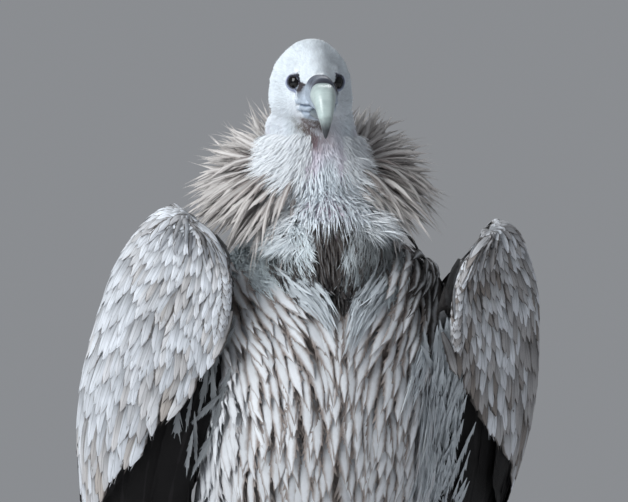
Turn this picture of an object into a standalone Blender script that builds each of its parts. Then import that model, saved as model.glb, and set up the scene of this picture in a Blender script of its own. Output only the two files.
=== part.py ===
"""Himalayan griffon vulture, life size, standing with its wings held a little off the body.

The bird faces -Y with +Z up, so its own left side is +X. Everything is in metres. Each named object is one
piece of the bird: flesh with its coat, horn, eye, claw or a fan of flight feathers. Shapes are modelled
round a few driving sizes, neighbours are parted by thin cuts, and the whole is set down with the middle of
its footprint at the origin.
"""

import math

import bmesh
import bpy
import numpy as np
from mathutils import Euler, Matrix, Vector

# Driving sizes, in metres
GAP = 0.0003
EYE_HEIGHT = 0.798
WRIST_HEIGHT = 0.672
WING_LENGTH = 0.780
WING_FALL = math.radians(53.1)  # how steeply the folded wing and the back run down, from level
TAIL_LENGTH = 0.385
HOCK_HEIGHT = 0.120
STANCE = 0.074  # from the midline to the middle of a foot
TOE_RADIUS = 0.0090
TOE_ROOT = 0.019  # from the middle of the foot to where the toes spring

HEAD_PLACE = Vector((-0.019, -0.092, EYE_HEIGHT))  # between the eyes
HEAD_TURN = math.radians(-4.0)  # towards the bird's right
HEAD_DIP = math.radians(9.0)

SIDES = {"left": 1, "right": -1}

# How far each wrist is lifted, and the wing spread, next to the common shape
WRIST_LIFT = {"left": -0.005, "right": 0.008}
WING_SPREAD = {"left": 0.010, "right": 0.004}

FINISHES = {
    "down": ((0.78, 0.79, 0.80), 0.95),
    "crop_feather": ((0.16, 0.13, 0.12), 0.90),
    "ruff_feather": ((0.46, 0.40, 0.36), 0.85),
    "body_feather": ((0.42, 0.37, 0.34), 0.85),
    "covert_feather": ((0.58, 0.56, 0.55), 0.75),
    "flight_feather": ((0.022, 0.020, 0.021), 0.60),
    "bill_horn": ((0.50, 0.57, 0.53), 0.30),
    "bare_skin": ((0.28, 0.33, 0.40), 0.55),
    "leg_skin": ((0.36, 0.37, 0.36), 0.60),
    "claw_horn": ((0.035, 0.032, 0.032), 0.35),
    "eye": ((0.012, 0.010, 0.010), 0.05),
}


# ---------------------------------------------------------------- helpers


def clear_scene():
    """Empties the scene that the script starts in."""
    for old in list(bpy.data.objects):
        bpy.data.objects.remove(old, do_unlink=True)


def collection(name):
    """A new collection in the scene."""
    made = bpy.data.collections.new(name)
    bpy.context.scene.collection.children.link(made)
    return made


def finish(name):
    """The material of that name, made once."""
    found = bpy.data.materials.get(name)
    if found:
        return found
    colour, roughness = FINISHES[name]
    made = bpy.data.materials.new(name)
    made.use_nodes = True
    shader = made.node_tree.nodes["Principled BSDF"]
    shader.inputs["Base Color"].default_value = (*colour, 1.0)
    shader.inputs["Roughness"].default_value = roughness
    shader.inputs["Metallic"].default_value = 0.0
    return made


def through(keys, at):
    """A smooth curve through (place, value) keys; a value is a number or a tuple."""
    places = np.array([key[0] for key in keys], float)
    values = np.array([np.atleast_1d(key[1]) for key in keys], float)
    slopes = np.gradient(values, places, axis=0)
    at = min(max(at, places[0]), places[-1])
    i = min(int(np.searchsorted(places, at, side="right")) - 1, len(places) - 2)
    span = places[i + 1] - places[i]
    t = (at - places[i]) / span
    found = (
        (2 * t**3 - 3 * t**2 + 1) * values[i]
        + (t**3 - 2 * t**2 + t) * span * slopes[i]
        + (3 * t**2 - 2 * t**3) * values[i + 1]
        + (t**3 - t**2) * span * slopes[i + 1]
    )
    return float(found[0]) if len(found) == 1 else found


def round_end(t, start, end):
    """From 0 to 1: how far a section has opened, with ends rounded over start and end of its length."""
    near = min(1.0, t / start) if start else 1.0
    far = min(1.0, (1.0 - t) / end) if end else 1.0
    return math.sqrt(max(0.0, 1 - (1 - near) ** 2)) * math.sqrt(max(0.0, 1 - (1 - far) ** 2))


def add_object(name, mesh, look, group):
    """A smooth-shaded object of that mesh, in its collection, with its finish."""
    made = bpy.data.objects.new(name, mesh)
    mesh.materials.append(finish(look))
    mesh.shade_smooth()
    group.objects.link(made)
    return made


def ball(name, place, look, group, segments=20, rings=14):
    """A closed form made from a sphere: place(t, angle) says where each of its points goes.

    t runs from 0 at one pole to 1 at the other, and angle goes round.
    """
    shape = bmesh.new()
    bmesh.ops.create_uvsphere(shape, u_segments=segments, v_segments=rings, radius=1.0)
    for vert in shape.verts:
        t = (1.0 - vert.co.z) / 2.0
        angle = math.atan2(vert.co.y, vert.co.x)
        vert.co = place(min(max(t, 0.0), 1.0), angle)
    shape.normal_update()
    bmesh.ops.recalc_face_normals(shape, faces=shape.faces)
    bmesh.ops.triangulate(shape, faces=shape.faces)
    mesh = bpy.data.meshes.new(name)
    shape.to_mesh(mesh)
    shape.free()
    return add_object(name, mesh, look, group)


def limb(name, path, girth, look, group, ends=(0.15, 0.15), segments=16, rings=12, floor=None):
    """A body or limb swept along path keys, with (half width, half front, half back) in girth keys.

    Sections stand square to the path, with their width along X. Points under floor are laid on it.
    """
    step = 0.01

    def place(t, angle):
        middle = Vector(through(path, t))
        along = Vector(through(path, min(t + step, 1.0))) - Vector(through(path, max(t - step, 0.0)))
        front = Vector((1, 0, 0)).cross(along).normalized()
        if front.y > 0:
            front.negate()
        side = along.cross(front).normalized()
        if side.x < 0:
            side.negate()
        wide, fore, aft = through(girth, t)
        open_by = round_end(t, *ends)
        reach = math.sin(angle)
        at = middle + side * (math.cos(angle) * wide * open_by)
        at += front * (reach * (fore if reach > 0 else aft) * open_by)
        if floor is not None:
            at.z = max(at.z, floor)
        return at

    return ball(name, place, look, group, segments, rings)


def sheet(name, place, look, group, columns, rows, thickness, inward=0.0, weight=None):
    """A closed sheet made from a grid: place(share, row, column) says where each of its points goes.

    share and row run from 0 to 1, and inward is -1, 0 or 1 for the side that the thickness goes to.
    weight(share, row) scales the thickness.
    """
    shape = bmesh.new()
    bmesh.ops.create_grid(shape, x_segments=columns, y_segments=rows, size=1.0)
    weights = []
    for vert in shape.verts:
        column = round((vert.co.x + 1) / 2 * columns)
        share, row = column / columns, (vert.co.y + 1) / 2
        weights.append(weight(share, row) if weight else 1.0)
        vert.co = place(share, row, column)
    mesh = bpy.data.meshes.new(name)
    shape.to_mesh(mesh)
    shape.free()
    made = add_object(name, mesh, look, group)
    thicken = made.modifiers.new("thickness", "SOLIDIFY")
    thicken.thickness = thickness
    thicken.offset = inward
    if weight:
        levels = made.vertex_groups.new(name="thickness")
        for index, level in enumerate(weights):
            levels.add([index], level, "REPLACE")
        thicken.vertex_group = "thickness"
    made.modifiers.new("flat_faces", "TRIANGULATE")
    return made


def solid_of(obj):
    """The object's mesh with its modifiers and its place in the world applied."""
    bpy.context.view_layer.update()
    graph = bpy.context.evaluated_depsgraph_get()
    mesh = bpy.data.meshes.new_from_object(obj.evaluated_get(graph))
    mesh.transform(obj.matrix_world)
    return mesh


def grown_copy(piece):
    """A hidden copy of a piece, grown all round by the gap, to cut its neighbours with."""
    mesh = solid_of(piece)
    shape = bmesh.new()
    shape.from_mesh(mesh)
    bmesh.ops.remove_doubles(shape, verts=shape.verts, dist=1e-6)
    shape.normal_update()
    bmesh.ops.recalc_face_normals(shape, faces=shape.faces)
    grown = [vert.co + vert.normal * GAP for vert in shape.verts]
    for vert, at in zip(shape.verts, grown):
        vert.co = at
    shape.to_mesh(mesh)
    shape.free()
    cutter = bpy.data.objects.new(f"cut_{piece.name}", mesh)
    cutter.hide_render = True
    cutter.display_type = "WIRE"
    CUTTERS.objects.link(cutter)
    return cutter


def part(cuts):
    """Parts pieces from their neighbours: cuts lists each with the uncut forms that it makes way for."""
    cutters = {}
    for _, neighbours in cuts:
        for other in neighbours:
            if other not in cutters:
                cutters[other] = grown_copy(other)
    for target, neighbours in cuts:
        for other in neighbours:
            cut = target.modifiers.new(f"clear_of_{other.name}", "BOOLEAN")
            cut.operation = "DIFFERENCE"
            cut.solver = "EXACT"
            cut.object = cutters[other]


# ---------------------------------------------------------------- head


def head_frame():
    """The empty that carries the head: dipped, and turned a little to the bird's right."""
    made = bpy.data.objects.new("head_pose", None)
    made.location = HEAD_PLACE
    made.rotation_euler = Euler((HEAD_DIP, 0.0, HEAD_TURN), "XYZ")
    BIRD.objects.link(made)
    return made


# In the head's own frame the bill points along -Y, and each key is
# (distance forward of the eyes, (half width, top, bottom)).
SKULL = (
    (-0.070, (0.020, 0.014, -0.020)),
    (-0.054, (0.033, 0.031, -0.040)),
    (-0.032, (0.0415, 0.0425, -0.052)),
    (-0.016, (0.0390, 0.0445, -0.053)),
    (-0.004, (0.0285, 0.0410, -0.049)),
    (0.008, (0.0240, 0.0345, -0.042)),
    (0.022, (0.0205, 0.0250, -0.033)),
    (0.036, (0.0155, 0.0180, -0.026)),
    (0.044, (0.0125, 0.0160, -0.023)),
)
EYE_PLACE = Vector((0.0160, -0.0005, 0.0038))
EYE_RADIUS = 0.0115
CERE_START, CERE_END = 0.032, 0.056
CULMEN_PATH = (
    (0.00, (0.048, -0.0010)),
    (0.20, (0.058, -0.0020)),
    (0.42, (0.0665, -0.0055)),
    (0.62, (0.0730, -0.0135)),
    (0.82, (0.0780, -0.0250)),
    (1.00, (0.0795, -0.0380)),
)
CULMEN_GIRTH = (
    (0.00, (0.0115, 0.0125)),
    (0.20, (0.0115, 0.0130)),
    (0.42, (0.0102, 0.0128)),
    (0.62, (0.0080, 0.0100)),
    (0.82, (0.0048, 0.0062)),
    (1.00, (0.0012, 0.0016)),
)
JAW_PATH = (
    (0.00, (0.030, -0.0215)),
    (0.50, (0.050, -0.0215)),
    (1.00, (0.0690, -0.0200)),
)
JAW_GIRTH = (
    (0.00, (0.0110, 0.0055)),
    (0.50, (0.0095, 0.0052)),
    (1.00, (0.0042, 0.0028)),
)


def skull(t, angle):
    """The downy head, from its back to the face round the bill."""
    forward = SKULL[0][0] + (SKULL[-1][0] - SKULL[0][0]) * t
    wide, top, bottom = through(SKULL, forward)
    open_by = round_end(t, 0.30, 0.05)
    middle = (top + bottom) / 2
    half = (top - bottom) / 2
    # The lower half is fuller than the crown, as the cheeks' down stands out.
    rise = math.sin(angle)
    fullness = 1.0 - 0.10 * max(rise, 0.0) ** 2
    across = math.cos(angle) * wide * fullness * open_by
    return Vector((across, -forward, middle + rise * half * open_by))


def horn(path, girth, ends):
    """A bent tapered horn in the head's middle plane, from (forward, up) and (width, height) keys."""

    def place(t, angle):
        forward, up = through(path, t)
        ahead = through(path, min(t + 0.02, 1.0)) - through(path, max(t - 0.02, 0.0))
        run = Vector((0.0, -ahead[0], ahead[1])).normalized()
        lift = run.cross(Vector((1, 0, 0))).normalized()
        if lift.y > 0 and abs(lift.y) > abs(lift.z):
            lift.negate()
        if lift.z < 0 and abs(lift.z) >= abs(lift.y):
            lift.negate()
        wide, high = through(girth, t)
        open_by = round_end(t, *ends)
        at = Vector((math.cos(angle) * wide * open_by, -forward, up))
        return at + lift * (math.sin(angle) * high * open_by)

    return place


def cere(t, angle):
    """The waxy saddle between the face and the horn of the upper bill."""
    forward = CERE_START + (CERE_END - CERE_START) * t
    wide = 0.0142 - 0.0020 * t
    top, bottom = 0.0172 - 0.0020 * t, -0.0150
    open_by = round_end(t, 0.05, 0.12)
    middle, half = (top + bottom) / 2, (top - bottom) / 2
    return Vector(
        (math.cos(angle) * wide * open_by, -forward, middle + math.sin(angle) * half * open_by)
    )


def build_head():
    """Head, cere, bill and eyes, carried by one empty."""
    pose = head_frame()
    head = ball("head", skull, "down", BIRD, 18, 14)
    upper = ball("bill_upper", horn(CULMEN_PATH, CULMEN_GIRTH, (0.06, 0.03)), "bill_horn", BIRD, 12, 12)
    lower = ball("bill_lower", horn(JAW_PATH, JAW_GIRTH, (0.10, 0.18)), "bill_horn", BIRD, 10, 7)
    saddle = ball("cere", cere, "bare_skin", BIRD, 14, 7)
    eyes = {}
    for side, sign in SIDES.items():
        shape = bmesh.new()
        bmesh.ops.create_uvsphere(shape, u_segments=10, v_segments=7, radius=EYE_RADIUS)
        mesh = bpy.data.meshes.new(f"eye_{side}")
        shape.to_mesh(mesh)
        shape.free()
        eye = add_object(f"eye_{side}", mesh, "eye", BIRD)
        eye.location = Vector((sign * EYE_PLACE.x, EYE_PLACE.y, EYE_PLACE.z))
        eye.parent = pose
        eyes[side] = eye
    for piece in (head, upper, lower, saddle):
        piece.parent = pose
    return head, upper, lower, saddle, eyes


# ---------------------------------------------------------------- body

TRUNK_PATH = (
    (0.00, (0.004, 0.168, 0.262)),
    (0.25, (0.007, 0.088, 0.350)),
    (0.50, (0.008, 0.020, 0.448)),
    (0.75, (0.004, -0.022, 0.552)),
    (1.00, (0.000, -0.040, 0.676)),
)
# (half width, front of the axis, back of the axis)
TRUNK_GIRTH = (
    (0.00, (0.060, 0.056, 0.046)),
    (0.20, (0.108, 0.098, 0.080)),
    (0.42, (0.121, 0.114, 0.108)),
    (0.65, (0.119, 0.110, 0.108)),
    (0.85, (0.125, 0.088, 0.090)),
    (1.00, (0.112, 0.066, 0.070)),
)
NECK_PATH = (
    (0.00, (0.002, -0.030, 0.590)),
    (0.35, (-0.003, -0.042, 0.665)),
    (0.70, (-0.012, -0.048, 0.735)),
    (1.00, (-0.020, -0.052, 0.800)),
)
NECK_GIRTH = (
    (0.00, (0.066, 0.060, 0.058)),
    (0.35, (0.056, 0.054, 0.052)),
    (0.70, (0.050, 0.046, 0.050)),
    (1.00, (0.043, 0.036, 0.040)),
)
CROP_MIDDLE = Vector((0.000, -0.080, 0.640))
CROP_HALF = Vector((0.066, 0.046, 0.060))


def build_body():
    """Trunk, neck and crop."""
    trunk = limb("trunk", TRUNK_PATH, TRUNK_GIRTH, "body_feather", BIRD, (0.22, 0.13), 18, 14)
    neck = limb("neck", NECK_PATH, NECK_GIRTH, "down", BIRD, (0.10, 0.20), 16, 8)

    def crop_form(t, angle):
        level = 1.0 - 2.0 * t
        round_by = math.sqrt(max(0.0, 1.0 - level**2))
        # It narrows to the breastbone's cleft below.
        narrow = 1.0 - 0.28 * max(-level, 0.0)
        return CROP_MIDDLE + Vector(
            (
                math.cos(angle) * CROP_HALF.x * round_by * narrow,
                math.sin(angle) * CROP_HALF.y * round_by,
                level * CROP_HALF.z,
            )
        )

    crop = ball("crop", crop_form, "crop_feather", BIRD, 14, 8)
    return trunk, neck, crop


# ---------------------------------------------------------------- ruff

RUFF_MIDDLE = Vector((-0.006, -0.046, 0.690))
RUFF_TIPS = 26
RUFF_OPEN = math.radians(300)  # how far it goes round the neck, open under the throat


def ruff_point(turn, out):
    """A point of the ruff: turn from -1 to 1 goes round the neck, and out from 0 to 1 goes to the tips."""
    angle = math.pi / 2 + turn * RUFF_OPEN / 2  # pi/2 is straight behind
    side, back = math.cos(angle), math.sin(angle)
    reach = 0.040 + (0.074 + 0.010 * abs(side)) * out
    upright = max(back, 0.0)
    drop = max(-back, 0.0)
    rise = 0.020 + 0.080 * out * upright - 0.045 * out * drop - 0.035 * out**2 * (1 - upright)
    rise += 0.024 * out * max(side, 0.0)
    lean = 0.62 - 0.16 * upright
    return RUFF_MIDDLE + Vector((side * reach, back * reach * lean + 0.010 * out, rise))


def build_ruff():
    """The collar of long lance feathers, a flared sheet with a toothed rim."""

    def place(share, row, column):
        if row < 0.999:
            return ruff_point(share * 2 - 1, row * 0.94)
        wander = 1.0 + 0.05 * math.sin(column * 2.1) + 0.04 * math.sin(column * 0.9)
        return ruff_point(share * 2 - 1, wander * (1.0 if column % 2 else 0.80))

    return sheet("ruff", place, "ruff_feather", BIRD, RUFF_TIPS * 2, 2, 0.005)


# ---------------------------------------------------------------- wings

# Lines down the folded wing: distance from the wrist, then (half span, height over the wing's own line)
LEADING_EDGE = (
    (0.00, (0.098, -0.040)),
    (0.08, (0.104, -0.048)),
    (0.18, (0.112, -0.055)),
    (0.30, (0.126, -0.060)),
    (0.48, (0.122, -0.052)),
    (0.64, (0.100, -0.036)),
    (WING_LENGTH, (0.080, -0.014)),
)
OUTER_LINE = (
    (0.00, (0.170, 0.014)),
    (0.06, (0.182, 0.018)),
    (0.12, (0.200, 0.020)),
    (0.24, (0.224, 0.019)),
    (0.38, (0.214, 0.013)),
    (0.56, (0.170, 0.010)),
    (WING_LENGTH, (0.096, 0.000)),
)
BACK_EDGE = (
    (0.00, (0.158, 0.050)),
    (0.08, (0.140, 0.068)),
    (0.18, (0.116, 0.090)),
    (0.30, (0.100, 0.098)),
    (0.46, (0.088, 0.078)),
    (0.62, (0.080, 0.040)),
    (WING_LENGTH, (0.074, 0.010)),
)
WRIST_SPAN = 0.150
WRIST_ROUND = 0.085  # the wing's section opens from the wrist over this length
WRIST_BLUNT = 0.22
WRIST_Y = -0.128
WING_RUN = Vector((0.0, math.cos(WING_FALL), -math.sin(WING_FALL)))
WING_RISE = Vector((0.0, math.sin(WING_FALL), math.cos(WING_FALL)))
COVERT_ENDS = (0.120, 0.460)  # how far down the coverts reach, at the leading and at the back edge
SECONDARY_ENDS = (0.330, 0.560)
FEATHERS = {"secondaries": 10, "primaries": 7}


def wing_point(side, down, across):
    """The outer surface of a wing: down in metres from the wrist, across from 0, leading, to 1, back edge."""
    lead, crest, back = (through(line, down) for line in (LEADING_EDGE, OUTER_LINE, BACK_EDGE))
    span, rise = (
        lead * (1 - across) * (1 - 2 * across)
        + crest * 4 * across * (1 - across)
        + back * across * (2 * across - 1)
    )
    open_by = WRIST_BLUNT + (1.0 - WRIST_BLUNT) * round_end(min(down / WRIST_ROUND, 1.0), 1.0, 0.0)
    span = WRIST_SPAN + (span - WRIST_SPAN) * open_by
    rise *= open_by
    spread = WING_SPREAD[side] * min(1.0, down / 0.1)
    start = Vector((0.0, WRIST_Y, WRIST_HEIGHT + WRIST_LIFT[side]))
    at = start + WING_RUN * down + WING_RISE * rise
    at.x = SIDES[side] * (span + spread)
    return at


def wing_normal(side, down, across):
    """Square to the outer surface, pointing away from the bird."""
    step_down = wing_point(side, down + 0.004, across) - wing_point(side, max(down - 0.004, 0), across)
    low, high = max(across - 0.02, 0.0), min(across + 0.02, 1.0)
    step_across = wing_point(side, down, high) - wing_point(side, down, low)
    normal = step_down.cross(step_across).normalized()
    return normal if normal.x * SIDES[side] > 0 else -normal


def covert_end(across):
    """How far down the wing the coverts reach."""
    near, far = COVERT_ENDS
    return near + (far - near) * math.sin(across * math.pi / 2) ** 0.8


def build_coverts(side):
    """The wrist and forearm under their coverts: thick at the wrist, and thin where they end on a slant."""
    depth = ((0.00, 0.005), (0.05, 0.009), (0.12, 0.019), (0.22, 0.018), (0.40, 0.011))
    deepest = 0.019

    def place(share, row, column):
        return wing_point(side, covert_end(share) * row, share)

    def weight(share, row):
        edge = 0.35 + 0.65 * math.sin(math.pi * min(max(share, 0.0), 1.0)) ** 0.5
        return through(depth, covert_end(share) * row) * edge / deepest

    return sheet(
        f"wing_{side}_coverts", place, "covert_feather", BIRD, 12, 7, deepest, SIDES[side], weight
    )


def vane_fan(name, side, region, thickness, inset, count):
    """Flight feathers as one sheet with a toothed lower edge. region(share) is (across, start, end)."""

    def place(share, row, column):
        across, start, end = region(share)
        if row > 0.999 and column % 2 == 0:
            end -= 0.016
        down = start + (end - start) * row
        under = inset * (1.0 - 0.8 * row)
        return wing_point(side, down, across) - wing_normal(side, down, across) * under

    return sheet(name, place, "flight_feather", BIRD, count * 2, 3, thickness)


def build_wing(side):
    """Coverts, secondaries, primaries and the upper arm of one wing."""
    coverts = build_coverts(side)

    def secondary_region(share):
        across = 0.22 + 0.74 * share
        start = COVERT_ENDS[0] + 0.25 * across - 0.06
        end = SECONDARY_ENDS[0] + (SECONDARY_ENDS[1] - SECONDARY_ENDS[0]) * math.sin(share * math.pi / 2)
        return across, start, end

    def primary_region(share):
        # The feathers fan out under the secondaries and close to a point at the wing's tip.
        across = 0.03 + 0.67 * share
        start = 0.10 + 0.20 * share
        end = 0.50 + (WING_LENGTH - 0.50) * math.sin(min(share * 1.25, 1.0) * math.pi / 2)
        return across, start, end

    secondaries = vane_fan(
        f"wing_{side}_secondaries", side, secondary_region, 0.005, 0.009, FEATHERS["secondaries"]
    )
    primaries = vane_fan(
        f"wing_{side}_primaries", side, primary_region, 0.005, 0.016, FEATHERS["primaries"]
    )
    sign = SIDES[side]
    arm_path = (
        (0.00, (sign * 0.078, -0.020, 0.618)),
        (0.50, (sign * 0.128, 0.020, 0.560)),
        (1.00, (sign * 0.172, 0.058, 0.500)),
    )
    arm_girth = (
        (0.00, (0.036, 0.036, 0.034)),
        (0.50, (0.034, 0.032, 0.030)),
        (1.00, (0.026, 0.026, 0.024)),
    )
    arm = limb(f"upper_arm_{side}", arm_path, arm_girth, "body_feather", BIRD, (0.2, 0.2), 8, 6)
    return coverts, secondaries, primaries, arm


# ---------------------------------------------------------------- tail

TAIL_BASE = Vector((0.0, 0.138, 0.345))
TAIL_FALL = math.radians(54.0)
TAIL_FEATHERS = 12


def build_tail():
    """Twelve broad feathers, nearly closed, as one shell with a toothed end."""
    run = Vector((0.0, math.cos(TAIL_FALL), -math.sin(TAIL_FALL)))
    rise = Vector((0.0, math.sin(TAIL_FALL), math.cos(TAIL_FALL)))

    def place(share, row, column):
        aside = share * 2 - 1
        length = TAIL_LENGTH * (1.0 - 0.10 * aside**2)
        if row > 0.999 and column % 2 == 0:
            length -= 0.014
        half = 0.042 + 0.048 * row
        arch = 0.020 * (1 - aside**2) * (1 - 0.5 * row)
        return TAIL_BASE + run * (length * row) + rise * arch + Vector((aside * half, 0, 0))

    return sheet("tail", place, "flight_feather", BIRD, TAIL_FEATHERS * 2, 2, 0.008)


# ---------------------------------------------------------------- legs

FOOT_Y = 0.052
FOOT_HALF = 0.021
TOES = {
    # name: (turn from straight ahead in degrees, length, radius)
    "middle": (4, 0.098, 1.00),
    "inner": (-31, 0.066, 0.98),
    "outer": (38, 0.072, 0.92),
    "hind": (188, 0.040, 0.92),
}
CLAW_LENGTH = {"middle": 0.030, "inner": 0.028, "outer": 0.024, "hind": 0.028}
CLAW_HALF = 0.0056
CLAW_SUNK = 0.006  # how far the claw's root goes into the toe
CLAW_ROOT_HEIGHT = 0.0105
CLAW_DROP = 0.42  # share of a full hook that the claw of a standing foot shows


def build_leg(side):
    """Feathered thigh, shank, foot, four toes and their claws."""
    sign = SIDES[side]
    x = sign * STANCE
    thigh_path = (
        (0.00, (sign * 0.066, 0.030, 0.400)),
        (0.40, (sign * 0.078, 0.018, 0.285)),
        (0.75, (sign * 0.076, 0.044, 0.190)),
        (1.00, (x, 0.062, HOCK_HEIGHT - 0.008)),
    )
    thigh_girth = (
        (0.00, (0.050, 0.060, 0.060)),
        (0.40, (0.058, 0.068, 0.060)),
        (0.75, (0.040, 0.044, 0.042)),
        (1.00, (0.024, 0.026, 0.028)),
    )
    thigh = limb(f"thigh_{side}", thigh_path, thigh_girth, "body_feather", BIRD, (0.15, 0.10), 12, 9)
    shank_path = (
        (0.00, (x, 0.062, HOCK_HEIGHT + 0.010)),
        (0.50, (x, 0.060, 0.070)),
        (1.00, (x, FOOT_Y, 0.010)),
    )
    shank_girth = (
        (0.00, (0.0140, 0.0145, 0.0165)),
        (0.50, (0.0108, 0.0112, 0.0125)),
        (1.00, (0.0135, 0.0135, 0.0135)),
    )
    shank = limb(
        f"shank_{side}", shank_path, shank_girth, "leg_skin", BIRD, (0.12, 0.10), 10, 7, floor=0.004
    )
    heel = Vector((x, FOOT_Y, 0.0))

    def pad(t, angle):
        level = 1.0 - 2.0 * t
        round_by = math.sqrt(max(0.0, 1.0 - level**2))
        at = heel + Vector((math.cos(angle) * FOOT_HALF, math.sin(angle) * FOOT_HALF, 0)) * round_by
        at.z = max(0.0, 0.0085 + level * 0.0135)
        return at

    foot = ball(f"foot_{side}", pad, "leg_skin", BIRD, 12, 7)
    toes, claws = [], []
    for toe_name, (turn, length, girth) in TOES.items():
        heading = math.radians(turn * sign - 90)
        ahead = Vector((math.cos(heading), math.sin(heading), 0.0))
        radius = TOE_RADIUS * girth
        toe = build_toe(f"toe_{side}_{toe_name}", heel, ahead, length, radius)
        claw = build_claw(
            f"claw_{side}_{toe_name}", heel + ahead * (length + 0.004), ahead, CLAW_LENGTH[toe_name]
        )
        toes.append(toe)
        claws.append(claw)
    return thigh, shank, foot, toes, claws


def build_toe(name, heel, ahead, length, radius):
    """A toe with its pads, flat where it stands on the floor."""
    aside = Vector((-ahead.y, ahead.x, 0.0))
    joints = 3.0

    def place(t, angle):
        out = TOE_ROOT + (length - TOE_ROOT) * t
        open_by = round_end(t, 0.10, 0.16)
        swell = 1.0 + 0.10 * math.cos(2 * math.pi * joints * t)
        girth = radius * (1.06 - 0.26 * t) * swell * open_by
        at = heel + ahead * out + aside * (math.cos(angle) * girth)
        at.z = max(0.0, radius * 0.80 + math.sin(angle) * girth)
        return at

    return ball(name, place, "leg_skin", BIRD, 8, 8)


def build_claw(name, root, ahead, length):
    """A hooked claw that comes down just clear of the floor."""
    aside = Vector((-ahead.y, ahead.x, 0.0))
    bend = math.radians(75)
    start = math.radians(17)
    arm = length / bend

    def place(t, angle):
        swept = start + bend * t
        out = arm * (math.sin(swept) - math.sin(start)) - CLAW_SUNK
        drop = arm * (math.cos(start) - math.cos(swept)) * CLAW_DROP
        girth = CLAW_HALF * (1 - t) ** 0.75 * round_end(t, 0.10, 0.0) + 2 * GAP * (1 - t)
        across = ahead * math.sin(swept) + Vector((0, 0, math.cos(swept)))
        at = root + ahead * out + Vector((0, 0, CLAW_ROOT_HEIGHT - drop))
        at += aside * (math.cos(angle) * girth * 0.8)
        at += across * (math.sin(angle) * girth)
        at.z = max(at.z, 2 * GAP)
        return at

    return ball(name, place, "claw_horn", BIRD, 6, 6)


# ---------------------------------------------------------------- assembly


def set_down():
    """Moves the bird so that the middle of its bounds stands over the origin."""
    bpy.context.view_layer.update()
    lows, highs = [], []
    for piece in BIRD.objects:
        if piece.type != "MESH":
            continue
        corners = np.array([v.co for v in solid_of(piece).vertices])
        lows.append(corners.min(axis=0))
        highs.append(corners.max(axis=0))
    low, high = np.min(lows, axis=0), np.max(highs, axis=0)
    shift = Matrix.Translation((-(low[0] + high[0]) / 2, -(low[1] + high[1]) / 2, -low[2]))
    for piece in (*BIRD.objects, *CUTTERS.objects):
        if piece.parent is None:
            piece.matrix_world = shift @ piece.matrix_world


def main():
    """Builds the bird from head to claws, then parts the pieces from each other."""
    head, upper, lower, saddle, eyes = build_head()
    trunk, neck, crop = build_body()
    ruff = build_ruff()
    tail = build_tail()
    wings = {side: build_wing(side) for side in SIDES}
    legs = {side: build_leg(side) for side in SIDES}

    cuts = [
        (saddle, [upper]),
        (lower, [upper, saddle]),
        (head, [saddle, upper, lower, eyes["left"], eyes["right"]]),
        (neck, [head, trunk, lower]),
        (crop, [neck, trunk]),
        (tail, [trunk]),
    ]
    for side in SIDES:
        coverts, secondaries, primaries, arm = wings[side]
        cuts.append((coverts, [trunk]))
        cuts.append((arm, [trunk, coverts]))
        cuts.append((secondaries, [coverts, trunk, arm, tail]))
        cuts.append((primaries, [coverts, secondaries, trunk, arm, tail]))
        thigh, shank, foot, toes, claws = legs[side]
        cuts.append((thigh, [trunk]))
        cuts.append((shank, [thigh, foot]))
        for place, (toe, claw) in enumerate(zip(toes, claws)):
            cuts.append((toe, [foot, shank, *toes[:place]]))
            cuts.append((claw, [toe]))
    cuts.append((ruff, [neck, trunk, crop, head, wings["left"][0], wings["right"][0]]))
    part(cuts)
    set_down()


clear_scene()
BIRD = collection("griffon_vulture")
CUTTERS = collection("cutters")
CUTTERS.hide_render = True
main()
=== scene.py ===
"""Looks of a life-size Himalayan griffon vulture, a still model that stands with its wings held off its body.

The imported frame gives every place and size. One skin stands in for the flesh, and solid down, feathers, horn
and scales are laid over it, tract by tract. The bird faces -Y with +Z up, and its own left side is +X.
"""

import logging
import math
from dataclasses import dataclass, field
from enum import Enum
from typing import Callable, Sequence

import bmesh
import bpy
import numpy as np
from mathutils import Euler, Matrix, Vector
from mathutils.bvhtree import BVHTree


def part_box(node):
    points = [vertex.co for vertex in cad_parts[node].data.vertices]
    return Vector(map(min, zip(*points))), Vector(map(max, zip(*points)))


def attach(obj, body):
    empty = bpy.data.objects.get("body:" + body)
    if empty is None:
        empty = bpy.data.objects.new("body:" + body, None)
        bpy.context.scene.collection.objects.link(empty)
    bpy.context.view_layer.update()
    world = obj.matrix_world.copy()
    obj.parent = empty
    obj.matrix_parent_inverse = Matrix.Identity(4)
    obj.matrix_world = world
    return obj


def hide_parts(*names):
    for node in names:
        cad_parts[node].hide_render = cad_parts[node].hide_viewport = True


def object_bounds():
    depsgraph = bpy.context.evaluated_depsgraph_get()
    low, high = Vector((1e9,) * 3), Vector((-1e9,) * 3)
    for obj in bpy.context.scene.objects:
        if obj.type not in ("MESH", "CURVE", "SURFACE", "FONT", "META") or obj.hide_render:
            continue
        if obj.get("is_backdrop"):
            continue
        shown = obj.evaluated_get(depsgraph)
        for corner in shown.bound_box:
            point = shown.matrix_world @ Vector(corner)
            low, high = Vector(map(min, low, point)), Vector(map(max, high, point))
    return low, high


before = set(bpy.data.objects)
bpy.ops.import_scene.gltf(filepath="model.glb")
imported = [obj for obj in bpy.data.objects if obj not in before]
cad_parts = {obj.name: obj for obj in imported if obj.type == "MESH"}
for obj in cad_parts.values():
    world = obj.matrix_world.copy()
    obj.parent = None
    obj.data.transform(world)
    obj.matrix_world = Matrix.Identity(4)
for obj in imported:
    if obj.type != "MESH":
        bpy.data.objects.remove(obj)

Array = np.ndarray
Keys = Sequence[tuple]
Places = Callable[[Array, Array], Array]
Colour = tuple[float, float, float]
Socket = bpy.types.NodeSocket
Material = bpy.types.Material
Mesh = bpy.types.Mesh
Piece = bpy.types.Object

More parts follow.
